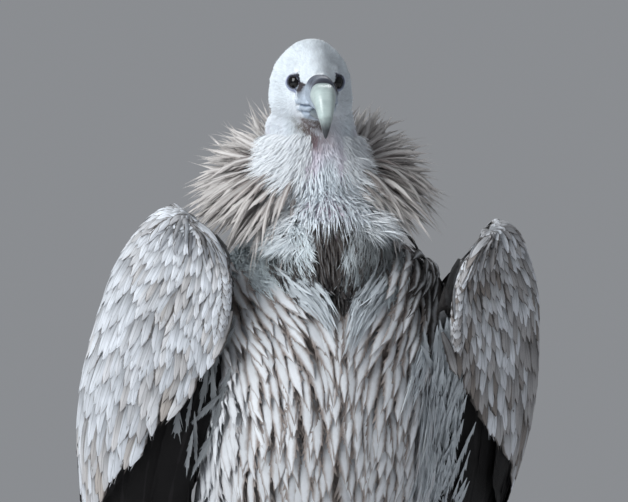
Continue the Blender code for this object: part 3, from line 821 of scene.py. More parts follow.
@dataclass(frozen=True)
class Markings:
    """The bird's colours, which skin and coat share, and painted shade at the eyes, lores, gape and left
    shoulder.
    """

    white: Colour = (0.68, 0.74, 0.79)
    cream: Colour = (0.73, 0.76, 0.79)
    neck_skin: Colour = (0.64, 0.42, 0.56)
    face_skin: Colour = (0.42, 0.49, 0.58)
    lid_skin: Colour = (0.20, 0.21, 0.40)
    # socket is near-black painted shade: the crease at the lids' edge, the brow's shadow over the upper lid
    # and the groove at the cere's front
    socket: Colour = (0.018, 0.018, 0.03)
    lore_dark_and_shade: Colour = (0.040, 0.034, 0.038)
    cere_dark: Colour = (0.07, 0.08, 0.11)
    fold_shade: Colour = (0.055, 0.085, 0.14)
    chin_brown: Colour = (0.115, 0.10, 0.085)
    crop_dark: Colour = (0.018, 0.014, 0.014)
    crop_brown: Colour = (0.085, 0.072, 0.066)
    down_grey: Colour = (0.52, 0.59, 0.62)
    down_pale: Colour = (0.66, 0.73, 0.77)
    plume: Colour = (0.64, 0.70, 0.75)
    ruff: Colour = (0.44, 0.385, 0.37)
    ruff_shaft: Colour = (0.80, 0.77, 0.75)
    breast: Colour = (0.30, 0.255, 0.235)
    belly: Colour = (0.29, 0.25, 0.225)
    flank: Colour = (0.44, 0.47, 0.51)
    streak: Colour = (0.76, 0.79, 0.83)
    back: Colour = (0.115, 0.090, 0.075)
    back_streak: Colour = (0.42, 0.37, 0.33)
    scapular_and_shade: Colour = (0.022, 0.018, 0.017)
    covert: Colour = (0.72, 0.76, 0.82)
    covert_buff: Colour = (0.50, 0.46, 0.43)
    covert_brown: Colour = (0.22, 0.195, 0.18)
    covert_edge: Colour = (0.20, 0.18, 0.17)
    covert_dark: Colour = (0.055, 0.046, 0.042)
    flight: Colour = (0.0055, 0.005, 0.0055)
    claw: Colour = (0.060, 0.056, 0.056)
    claw_side: Colour = (0.030, 0.028, 0.028)
    claw_tip: Colour = (0.012, 0.011, 0.011)
    lid_reach: float = 18.0 * MM

    def patch(self, points: Array, middle: tuple, half: tuple) -> Array:
        """How far inside an oval patch of the front places are: 1 at its middle, 0 at its edge, and below."""
        away = points - SHIFT
        inside = 1 - np.hypot((away[:, 0] - middle[0]) / half[0], (away[:, 2] - middle[1]) / half[1])
        return np.where(away[:, 1] < -0.03, inside, -1.0)

    def crop_patch(self, points: Array) -> Array:
        """The crop's dark hair-like patch."""
        return self.patch(points, (-0.006, 0.634), (0.044, 0.034))

    def down_patch(self, points: Array) -> Array:
        """The two patches of grey down either side of the crop."""
        right = self.patch(points, (-0.064, 0.642), (0.032, 0.034))
        return np.maximum(right, self.patch(points, (0.040, 0.634), (0.032, 0.034)))

    def coat(self, points: Array, out: Array) -> tuple[Array, Array]:
        """The body's markings, with painted shadow on the breast in front of the left shoulder.

        Args:
            points: World places on the skin.
            out: The skin's directions out there.

        Returns:
            The colour of each feather's vane, and of its streak with the streak's share of its width.
        """
        x, z = points[:, 0] - SHIFT[0], points[:, 2]
        low = ease(0.52, 0.40, z)
        behind = ease(0.15, 0.55, out[:, 1])
        # Dark scapulars on the upper back, and painted shadow on the breast in front of the bird's left
        # shoulder.
        shoulder = ease(0.068, 0.092, x) * ease(0.535, 0.575, z) * ease(-0.95, -0.6, out[:, 1])
        shoulder = np.maximum(shoulder, ease(0.50, 0.62, z) * behind * 0.7)
        flank = ease(0.075, 0.105, np.abs(x)) * ease(0.59, 0.53, z) * ease(0.26, 0.34, z) * (1 - behind)
        vane = painted(self.breast, (self.belly, low), (self.back, behind))
        vane = painted(vane, (self.scapular_and_shade, shoulder), (self.flank, flank))
        pale = np.array(self.streak) * (1 - 0.20 * ease(0.54, 0.42, z))[:, None]
        pale = painted(pale, (self.back_streak, behind))
        share = 0.46 + 0.06 * low + 0.10 * flank - 0.34 * behind - 0.25 * shoulder
        return vane, np.column_stack((pale, share))

    def bareness(self, points: Array) -> Array:
        """How bare the face's skin is, from 0 under down to 1, at world places."""
        _, forward, up = HEAD.face(points)
        reach, heading, past = HEAD.round_eye(HEAD.inward(points))
        limit = 12.0 + 8.0 * ease(0.25, -0.35, heading[:, 2])
        ring = (1 - ease(limit - 2.0, limit + 2.0, past)) * (reach < self.lid_reach)
        top = 7.0 - 0.10 * (forward - 6.0)
        low = -23.0 + 0.10 * (forward - 10.0) - 7.0 * mound(forward, 24.0, 10.0)
        border = forward + 3.5 * ripple(points, 0.006, 14)
        inside = (1 - ease(top - 1.0, top + 1.5, up)) * ease(low - 2.0, low + 1.0, up)
        lore = ease(12.0, 22.0, border) * inside
        near = (1 - ease(52.0, 56.0, forward)) * ease(-45.0, -40.0, up)
        return np.clip(np.maximum(ring, lore), 0, 1) * near

    def skin(self, points: Array, out: Array) -> Array:
        """The skin's colours at world places."""
        aside, forward, up = HEAD.face(points)
        z = points[:, 2]
        bare = self.bareness(points)
        gape = HEAD.gape(forward)
        folds = mound(up, gape, 1.1) + 0.7 * mound(up, gape - 6.3, 1.0)
        reach, heading, past = HEAD.round_eye(HEAD.inward(points))
        near = (reach < self.lid_reach) * 1.0
        under = ease(0.1, -0.2, heading[:, 2])
        # Dark lores, darker than their own tone as painted shadow, which on the far side stands for the
        # shadowed eye socket.
        lore_and_shade = 1.6 * bare * mound(forward, 21.0, 10.0) * mound(up, 4.0, 9.0) * ease(8.0, 12.0, aside)
        return painted(
            self.coat(points, out)[0],
            (self.down_grey, ease(-0.05, 0.05, self.down_patch(points))),
            (self.crop_dark, ease(-0.05, 0.05, self.crop_patch(points))),
            (self.white, ease(0.652, 0.664, z)),
            (self.neck_skin, mound(z, 0.702, 0.040) * 0.55 * ease(0.0, -0.5, out[:, 1])),
            (self.cream, ease(0.755, 0.775, z) * 0.6),
            (self.face_skin, bare),
            (self.lore_dark_and_shade, lore_and_shade),
            # Painted shade in the gape's two grooves.
            (self.fold_shade, folds * ease(9.0, 13.0, forward) * bare),
            (self.lid_skin, mound(past, 7.0, 6.5) * near),
            (self.face_skin, mound(past, 3.0, 1.3) * near * 0.7 * under),
            # Painted shade in the crease at the lids' edge, and the brow's painted shadow over the upper lid.
            (self.socket, mound(past, 0.5, 1.4) * near),
            (self.socket, mound(past, 5.5, 7.0) * ease(0.08, 0.30, HEAD.frown(heading)) * near * 1.4),
        )


def painted(rows: Array | Colour, *coats: tuple[Colour, Array]) -> Array:
    """Rows of colours, or one colour for all rows, under coats.

    Args:
        rows: What lies under the coats.
        *coats: For each, its colour and the share of each row that it covers.

    Returns:
        One colour to a row.
    """
    for colour, share in coats:
        share = np.clip(share, 0, 1)[:, None]
        rows = np.asarray(rows) * (1 - share) + np.asarray(colour) * share
    return rows


MARKS = Markings()


# ---------------------------------------------------------------- skin


@dataclass
class Skin:
    """The one skin over head, neck, trunk, arms and thighs, which lies under the coat by the coat's depth."""

    flesh: tuple = (
        "trunk", "neck", "head", "crop", "upper_arm_left", "upper_arm_right", "thigh_left", "thigh_right",
    )
    voxel: float = 3.7 * MM
    swell: float = 0.8 * MM
    smoothing: int = 7
    lids: tuple = ((1.3, 3.6, 2.8), (-0.7, 9.5, 2.4), (0.9, 15.5, 3.4))
    folds: tuple = ((-1.5, 0.0, 1.0), (0.7, -3.0, 1.8), (0.5, 2.6, 1.5), (-0.9, -6.3, 0.9), (0.7, -10.0, 2.6))
    depths: Keys = (
        (0.10, 3.0), (0.20, 6.0), (0.40, 13.0), (0.60, 13.0), (0.67, 10.0), (0.74, 5.0), (0.78, 3.2),
        (0.84, 2.8),
    )
    points: Array = field(default=None, repr=False)
    triangles: Array = field(default=None, repr=False)
    normals: Array = field(default=None, repr=False)
    tree: BVHTree = field(default=None, repr=False)
    arms: list = field(default_factory=list, repr=False)

    def wing_flesh(self, side: str) -> tuple[Array, Array]:
        """The thin arm and hand inside a wing's coverts, as a closed form."""
        wing = WingForm(side)
        rows, columns = 16, 12
        spans, shares = np.linspace(0.12, 0.92, columns), np.linspace(0.10, 0.74, rows)
        across, share = np.meshgrid(spans, shares, indexing="ij")
        down = wing.covert_end(across) * share
        outer = wing.point(down, across)
        inward = -wing.normal(down, across)
        points = np.concatenate([(outer + inward * deep * MM).reshape(-1, 3) for deep in (5.5, 12.0)])
        grid = np.arange(columns * rows).reshape(columns, rows)
        a, b, c, d = (g.ravel() for g in (grid[:-1, :-1], grid[1:, :-1], grid[1:, 1:], grid[:-1, 1:]))
        top = np.stack((a, b, c, a, c, d), axis=1).reshape(-1, 3)
        rim = np.concatenate((grid[:, 0], grid[-1, 1:], grid[-2::-1, -1], grid[0, -2:0:-1]))
        last, count = np.roll(rim, -1), grid.size
        side = np.stack((rim, rim + count, last + count, rim, last + count, last), axis=1).reshape(-1, 3)
        return points, outward_facing(points, np.concatenate((top, top[:, ::-1] + count, side)))

    def wing_share(self, points: Array) -> Array:
        """1 on the wings' own flesh, and 0 elsewhere."""
        near = np.zeros(len(points))
        for i in np.flatnonzero(np.abs(points[:, 0] - SHIFT[0]) > 0.09):
            near[i] = any(arm.find_nearest(Vector(points[i]), 0.006)[0] is not None for arm in self.arms)
        return near

    def smooth_mesh(self) -> Mesh:
        """The flesh as one closed smooth mesh, finer on the face."""
        wings = [self.wing_flesh(side) for side in SIDES]
        self.arms = [BVHTree.FromPolygons(points.tolist(), faces.tolist()) for points, faces in wings]
        pieces = [solid_of(node) for node in (*self.flesh, "eye_left", "eye_right")] + wings
        mesh = one_skin(pieces, self.swell, self.voxel, self.smoothing)
        shape = bmesh.new()
        shape.from_mesh(mesh)
        for level in range(3):
            local = HEAD.inward(np.array([v.co for v in shape.verts]))
            _, forward, up = (local / MM).T
            if level == 0:
                near = (np.abs(forward - 18) < 40) & (np.abs(up + 8) < 34)
            elif level == 1:
                near = (np.abs(forward - 16) < 24) & (np.abs(up + 4) < 24)
            else:
                near = np.linalg.norm(np.abs(local) - (0.021, 0.011, 0.006), axis=1) < 0.014
            face = set(np.flatnonzero(near).tolist())
            shape.verts.index_update()
            edges = [e for e in shape.edges if e.verts[0].index in face and e.verts[1].index in face]
            bmesh.ops.subdivide_edges(shape, edges=edges, cuts=1, use_grid_fill=True, smooth=0.4)
        bmesh.ops.triangulate(shape, faces=shape.faces)
        shape.to_mesh(mesh)
        shape.free()
        return mesh

    def coat_depth(self, points: Array) -> Array:
        """How thick the coat is over each place, in metres."""
        z = points[:, 2]
        local = HEAD.inward(points) / MM
        depth = through(self.depths, z)
        face = ease(-2.0, 8.0, local[:, 1]) * ease(-55.0, -40.0, local[:, 2])
        depth = depth * (1 - face) + 2.0 * face
        wing = ease(0.105, 0.135, np.abs(points[:, 0] - SHIFT[0])) * ease(0.30, 0.34, z)
        depth = depth * (1 - wing) + 1.2 * wing
        return (depth * (1 - MARKS.bareness(points)) + 0.5) * MM

    def sculpt(self, points: Array, normals: Array) -> Array:
        """Works brow, lores, lids and the folds of the gape into the face."""
        aside, forward, up = HEAD.face(points)
        cheek = ease(9.0, 12.0, aside)
        gape = HEAD.gape(forward)
        beside = ease(9.0, 13.0, forward) * (1 - ease(40.0, 44.0, forward)) * ease(6.0, 9.0, aside)
        wrinkles = np.sin(up * 1.9 + 0.8 * np.sin(forward * 0.5)) * 0.35
        rays = np.sin((forward * 0.9 - up * 0.5) * 1.3) * 0.25
        push = 5.5 * mound(up, -21.0, 13.0) * mound(forward, -14.0, 17.0) * ease(10.0, 22.0, aside)
        push += 2.8 * mound(up, 14.0 - 0.24 * (forward - 8), 4.0) * mound(forward, 9.0, 12.0) * cheek
        push -= 2.2 * mound(forward, 24.0, 6.0) * mound(up, 3.0, 6.5) * cheek
        push += wrinkles * mound(forward, 30.0, 7.0) * mound(up, 3.0, 9.0) * cheek
        for height, above, reach in self.folds:
            push += height * mound(up, gape + above, reach) * beside
        push -= 0.8 * mound(up, gape + 6.0 - 0.10 * (forward - 24), 0.9) * beside * mound(forward, 20, 9)
        push += rays * beside * ease(-4.0, -8.0, up)
        moved = points + normals * (push * MM)[:, None]

        local = HEAD.inward(moved)
        reach, heading, past = HEAD.round_eye(local)
        over = heading[:, 2]
        lids = 0.5 - 0.9 * mound(past, 22.0, 2.6) * ease(0.2, -0.2, over)
        for height, middle, width in self.lids:
            lids += height * mound(past, middle, width)
        radius = HEAD.eye_radius + np.where(past < 0, -np.minimum(-past * 0.45, 3.0), lids) * MM
        upper = ease(0.0, 0.4, over)
        hold = 1 - ease(22.0 - 9.0 * upper, 36.0 - 12.0 * upper, past)
        hold = hold * ease(20.0 * MM, 16.0 * MM, reach) * (aside > 6.0)
        reach = reach * (1 - hold) + radius * hold
        folded = HEAD.eye_centre() + heading * reach[:, None]
        folded[:, 0] *= np.where(local[:, 0] < 0, -1.0, 1.0)
        return HEAD.outward(self.tucked(folded))

    def tucked(self, local: Array) -> Array:
        """Places in the head's frame, with the forehead's front edge drawn in under the cere."""
        ahead = np.maximum(local[:, 1] / MM - 30.0, 0.0)
        roof = np.where(ahead > 0, (16.8 - 1.2 * ahead) * MM, np.inf)
        wall = np.where((ahead > 0) & (local[:, 2] > 0), (15.5 - 0.9 * ahead) * MM, np.inf)
        aside, up = np.clip(local[:, 0], -wall, wall), np.minimum(local[:, 2], roof)
        return np.stack((aside, local[:, 1], up), axis=1)

    def build(self) -> Piece:
        """Makes the skin and keeps what the coat needs to lie on it."""
        mesh = self.smooth_mesh()
        points, triangles = points_of(mesh), triangles_of(mesh)
        normals = point_normals(points, triangles)
        points = points - normals * (self.coat_depth(points) + self.swell)[:, None]
        for _ in range(2):
            points = relaxed(points, triangles, 0.3)
        points = self.sculpt(points, point_normals(points, triangles))
        self.points, self.triangles = points, triangles
        self.normals = point_normals(points, triangles)
        self.tree = BVHTree.FromPolygons(points.tolist(), triangles.tolist())
        bpy.data.meshes.remove(mesh)
        made = mesh_of("skin", points, triangles)
        carry(made, "vane", np.column_stack((MARKS.skin(points, self.normals), MARKS.bareness(points))))
        map_points(made, unrolled(points))
        return show("skin", made, SkinFinish("skin_downy").material(), Slot.BARE_SKIN, self.flesh)


def relaxed(points: Array, triangles: Array, share: float) -> Array:
    """Points drawn towards the middle of their neighbours by a share of the way."""
    total, count = np.zeros_like(points), np.zeros(len(points))
    for i in range(3):
        a, b = triangles[:, i], triangles[:, (i + 1) % 3]
        np.add.at(total, a, points[b])
        np.add.at(count, a, 1)
    return points * (1 - share) + total / np.maximum(count, 1)[:, None] * share


def unrolled(points: Array) -> Array:
    """Places on the body's own unwrap: round its upright axis, and down its length."""
    axis_y = through(((0.0, 0.10), (0.30, 0.06), (0.45, -0.08), (0.68, -0.145), (0.84, -0.17)), points[:, 2])
    around = np.arctan2(points[:, 0] - SHIFT[0], -(points[:, 1] - axis_y))
    return np.stack((0.5 + around / (2 * math.pi) * 0.98, 0.01 + points[:, 2] / 0.86 * 0.98), axis=1)


# ---------------------------------------------------------------- feathers


@dataclass
class Spine:
    """The shafts of many feathers: places, up directions and side directions along each."""

    path: Array
    up: Array
    side: Array

    @classmethod
    def from_path(cls, path: Array, up: Array) -> "Spine":
        """Works the side directions out from the path and the up directions."""
        along = np.gradient(path, axis=1)
        side = unit(np.cross(along, up))
        return cls(path, unit(np.cross(side, along)), side)

    def twisted(self, angle: Array) -> "Spine":
        """The same shafts with their vanes turned round them by an angle, one for each feather."""
        c, s = np.cos(angle)[:, None, None], np.sin(angle)[:, None, None]
        return Spine(self.path, self.up * c - self.side * s, self.side * c + self.up * s)

    def even(self) -> Array:
        """Which shafts run in even steps, without a leap from one part of the body to another."""
        step = np.linalg.norm(np.diff(self.path, axis=1), axis=2)
        first, last = unit(self.path[:, 1] - self.path[:, 0]), unit(self.path[:, -1] - self.path[:, -2])
        turn = (first * last).sum(axis=1)
        return (step.max(axis=1) < 1.8 * np.median(step, axis=1)) & (turn > -0.1)

    def only(self, kept: Array) -> "Spine":
        """Some of the shafts."""
        return Spine(self.path[kept], self.up[kept], self.side[kept])

    def read(self, rows: Array, share: Array) -> Array:
        """Values of rows, which has one for each step, at shares of the length."""
        steps = rows.shape[1] - 1
        at = np.clip(share, 0, 1) * steps
        i = np.minimum(at.astype(int), steps - 1)
        t = (at - i)[..., None]
        which = np.arange(len(rows))[:, None]
        return rows[which, i] * (1 - t) + rows[which, i + 1] * t


@dataclass(frozen=True)
class VaneForm:
    """How one kind of feather is cut: a vane either side of the shaft, with locks of barbs at its margin."""

    outline: Keys
    steps: int = 5
    locks: int = 0
    strip: float = 1.0
    sweep: float = 0.15
    crown: float = 0.25
    loose: float = 0.12
    columns: int = 3

    def pattern(self) -> tuple[Array, Array, Array, Array]:
        """One feather's points and triangles.

        Returns:
            How far along and across each point is, which points are free tips of locks, and the triangles.
        """
        s, x, tips, faces = [], [], [], []
        wide = self.columns
        for row in range(self.steps + 1):
            s += [row / self.steps] * wide
            x += [(2 * column / (wide - 1) - 1) * self.strip for column in range(wide)]
            tips += [0.0] * wide
        for row in range(self.steps):
            for column in range(wide - 1):
                a = row * wide + column
                faces += [(a, a + 1, a + wide + 1), (a, a + wide + 1, a + wide)]
        for side in (-1, 1):
            for lock in range(self.locks):
                start = (lock + 0.15) / self.locks * 0.94
                first = len(s)
                s += [start, start + 1.5 / self.locks, start + 0.8 / self.locks + self.sweep]
                x += [side * self.strip * 0.8, side * self.strip * 0.75, side * 1.0]
                tips += [0.0, 0.0, 1.0]
                faces.append((first, first + 1, first + 2) if side < 0 else (first, first + 2, first + 1))
        return np.array(s), np.array(x), np.array(tips), np.array(faces)


LANCE = ((0.0, 0.25), (0.15, 0.62), (0.40, 1.0), (0.70, 0.80), (0.90, 0.40), (1.0, 0.06))
LANCE_FULL = ((0.0, 0.30), (0.20, 0.72), (0.50, 1.0), (0.78, 0.84), (0.92, 0.48), (1.0, 0.08))
ROUND = ((0.0, 0.30), (0.20, 0.72), (0.50, 0.98), (0.80, 0.92), (0.93, 0.62), (1.0, 0.14))
LONG = ((0.0, 0.30), (0.10, 0.75), (0.45, 1.0), (0.85, 0.92), (0.95, 0.62), (1.0, 0.10))
WISP = ((0.0, 0.75), (0.35, 1.0), (0.75, 0.65), (1.0, 0.04))


@dataclass(frozen=True)
class TuftForm:
    """A tuft of down: one thin tapered blade."""

    bend: float = 0.5

    def pattern(self) -> tuple[Array, Array, Array, Array]:
        """One tuft's points and triangles, as for a feather."""
        s = np.array((0.0, 0.0, self.bend, self.bend, 1.0))
        x = np.array((-1.0, 1.0, -0.8, 0.8, 0.0))
        faces = np.array(((0, 1, 3), (0, 3, 2), (2, 3, 4)))
        return s, x, np.zeros(5), faces


@dataclass
class Coat:
    """One piece of the coat: feathers or tufts in a mesh, with a soft share of the body's own shading."""

    name: str
    slot: Slot
    look: Material
    nodes: tuple = ()
    seed: int = 1
    soft: float = 0.3
    points: list = field(default_factory=list)
    outs: list = field(default_factory=list)
    faces: list = field(default_factory=list)
    lies: list = field(default_factory=list)
    vanes: list = field(default_factory=list)
    streaks: list = field(default_factory=list)
    places: list = field(default_factory=list)
    count: int = 0

    def add(
        self, spine: Spine, form: VaneForm | TuftForm, width: Array, vane: Array, streak: Array, place: Array,
        patch: float = 3 * MM,
    ) -> None:
        """Adds feathers.

        Args:
            spine: Their shafts.
            form: How they are cut.
            width: The widest half of each, in metres.
            vane: The colour of each.
            streak: The colour of each one's streak, and the streak's share of the half width.
            place: Where each stands on the OFBake map.
            patch: How large each one's patch is there.
        """
        s, x, tips, faces = form.pattern()
        number, size = len(spine.path), len(s)
        rng = np.random.default_rng(self.seed + self.count)
        loose = getattr(form, "loose", 0.0)
        stretch = rng.normal(0, loose, (number, size)) * tips
        share = np.tile(s, (number, 1)) + stretch * 0.35
        over = np.tile(x, (number, 1)) * (1 + stretch)
        outline = through(getattr(form, "outline", ((0.0, 1.0), (1.0, 1.0))), share)
        half = np.asarray(width)[:, None] * outline
        side, up, path = (spine.read(rows, share) for rows in (spine.side, spine.up, spine.path))
        beyond = np.clip(share - 1.0, 0.0, 0.2)[..., None] * (spine.path[:, -1:] - spine.path[:, -2:-1])
        steps = spine.path.shape[1] - 1
        sag = -getattr(form, "crown", 0.0) * over**2 + rng.normal(0, 0.10, (number, size)) * tips
        at = path + beyond * steps + side * (over * half)[..., None] + up * (sag * half)[..., None]
        chance = np.tile(rng.random((number, 1)), (1, size))
        lie = np.stack((np.clip(share, 0, 1), np.clip(over, -1, 1), chance), axis=-1)
        spot = np.stack((over * 0.5, share - 0.5), axis=-1) * patch
        self.points.append(at.reshape(-1, 3))
        self.outs.append(up.reshape(-1, 3))
        offsets = (np.arange(number) * size)[:, None, None]
        self.faces.append((faces[None] + offsets + self.count).reshape(-1, 3))
        self.lies.append(lie.reshape(-1, 3))
        self.vanes.append(np.repeat(np.column_stack((vane, np.ones(number))), size, axis=0))
        self.streaks.append(np.repeat(np.broadcast_to(streak, (number, 4)), size, axis=0))
        self.places.append((np.asarray(place)[:, None, :] + spot).reshape(-1, 2))
        self.count += number * size

    def build(self) -> Piece:
        """Joins the feathers and puts them in the scene."""
        points, faces = np.concatenate(self.points), np.concatenate(self.faces)
        mesh = mesh_of(self.name, points, faces)
        facing = point_normals(points, faces) * (1 - self.soft) + np.concatenate(self.outs) * self.soft
        mesh.normals_split_custom_set_from_vertices(unit(facing))
        carry(mesh, "lie", np.concatenate(self.lies))
        carry(mesh, "vane", np.concatenate(self.vanes))
        carry(mesh, "streak", np.concatenate(self.streaks))
        map_points(mesh, np.clip(np.concatenate(self.places), 0.001, 0.999))
        return show(self.name, mesh, self.look, self.slot, self.nodes)


def scatter(skin: Skin, spacing: Callable[[Array], Array], seed: int) -> tuple[Array, Array]:
    """Roots spread evenly over part of the skin.

    Args:
        skin: The skin.
        spacing: Gives the distance wanted between roots at places, infinite where none grow.
        seed: Which spread to make.

    Returns:
        The roots' places and the skin's directions out there.
    """
    rng = np.random.default_rng(seed)
    corners = skin.points[skin.triangles]
    middles = corners.mean(axis=1)
    area = np.linalg.norm(np.cross(corners[:, 1] - corners[:, 0], corners[:, 2] - corners[:, 0]), axis=1) / 2
    gap = spacing(middles)
    wanted = np.where(np.isfinite(gap), area / gap**2, 0.0) * 2.2
    number = rng.poisson(wanted)
    which = np.repeat(np.arange(len(number)), number)
    rng.shuffle(which)
    a, b = rng.random((2, len(which)))
    fold = a + b > 1
    a[fold], b[fold] = 1 - a[fold], 1 - b[fold]
    weights = np.stack((1 - a - b, a, b), axis=1)[..., None]
    roots = (corners[which] * weights).sum(axis=1)
    outs = unit((skin.normals[skin.triangles[which]] * weights).sum(axis=1))
    kept = spaced(roots, gap[which])
    return roots[kept], outs[kept]


def spaced(points: Array, gaps: Array) -> Array:
    """Which of the points to keep so that none is nearer to another than its gap."""
    cell = float(gaps.max()) if len(gaps) else 1.0
    grid: dict[tuple, list[int]] = {}
    cells = np.floor(points / cell).astype(int).tolist()
    rows, limits, kept = points.tolist(), (gaps**2).tolist(), []
    near = [(i, j, k) for i in (-1, 0, 1) for j in (-1, 0, 1) for k in (-1, 0, 1)]
    for index, (cx, cy, cz) in enumerate(cells):
        x, y, z = rows[index]
        limit = limits[index]
        clear = True
        for i, j, k in near:
            for other in grid.get((cx + i, cy + j, cz + k), ()):
                ox, oy, oz = rows[other]
                if (ox - x) ** 2 + (oy - y) ** 2 + (oz - z) ** 2 < limit:
                    clear = False
                    break
            if not clear:
                break
        if clear:
            grid.setdefault((cx, cy, cz), []).append(index)
            kept.append(index)
    return np.array(kept, int)


def flat(way: Array, out: Array) -> Array:
    """Directions laid flat on a surface that faces out."""
    return unit(way - (way * out).sum(axis=1, keepdims=True) * out)


def strayed(way: Array, out: Array, angle: Array) -> Array:
    """Directions turned by an angle on a surface that faces out."""
    return unit(way * np.cos(angle)[:, None] + np.cross(out, way) * np.sin(angle)[:, None])


def lay(
    skin: Skin, roots: Array, heading: Places, length: Array, lift: Keys, steps: int,
    stray: Array, depth: Array,
) -> Spine:
    """Shafts that follow the skin.

    Args:
        skin: The skin.
        roots: Where they grow.
        heading: Gives the way that feathers lie, for places and the directions out there.
        length: The length of each.
        lift: How far the shaft stands off the skin, as a share of the coat's depth, by share of its length.
        steps: Steps in each.
        stray: The angle that each strays from the coat's lie.
        depth: The coat's depth for each, in metres.

    Returns:
        The shafts.
    """
    at, path, ups = roots.copy(), [], []
    ahead = None
    for step in range(steps + 1):
        found = [skin.tree.find_nearest(Vector(p)) for p in at]
        ground = np.array([hit[0] for hit in found])
        out = np.array([hit[1] for hit in found])
        flow = flat(heading(ground, out), out)
        ahead = strayed(flow, out, stray) if ahead is None else ahead * 0.7 + flow * 0.3
        ahead = flat(ahead, out)
        path.append(ground + out * (through(lift, step / steps) * depth)[:, None])
        ups.append(out)
        at = ground + ahead * (length / steps)[:, None]
    return Spine.from_path(np.stack(path, axis=1), np.stack(ups, axis=1))


def blades(roots: Array, ahead: Array, out: Array, length: Array, rise: Array, curl: Array) -> Spine:
    """Short tufts that spring from the skin and bend.

    Args:
        roots: Where they grow.
        ahead: The way each one lies.
        out: The skin's direction out.
        length: Their lengths.
        rise: The share of the length by which each tip stands off the skin.
        curl: How far each one's middle bows out, as a share of the length.

    Returns:
        Their shafts.
    """
    tips = roots + ahead * length[:, None] + out * (length * rise)[:, None]
    bows = (roots + tips) / 2 + out * (length * curl)[:, None]
    return Spine.from_path(np.stack((roots, bows, tips), axis=1), np.stack((out, out, out), axis=1))


PLAIN = np.array((0.0, 0.0, 0.0, -1.0))


# ---------------------------------------------------------------- head and neck


def head_flow(points: Array, _: Array) -> Array:
    """The way down lies on head and neck: back from the bill, then down the neck."""
    local = HEAD.inward(points)
    source = HEAD.outward(np.array(((0.0, 0.060, -0.004),)))[0]
    back = unit(points - source)
    share = ease(-0.030, -0.060, local[:, 2]) * 0.9 + 0.1 * ease(0.0, -0.05, local[:, 1])
    return unit(back * (1 - share[:, None]) + np.array((0.0, 0.05, -1.0)) * share[:, None])


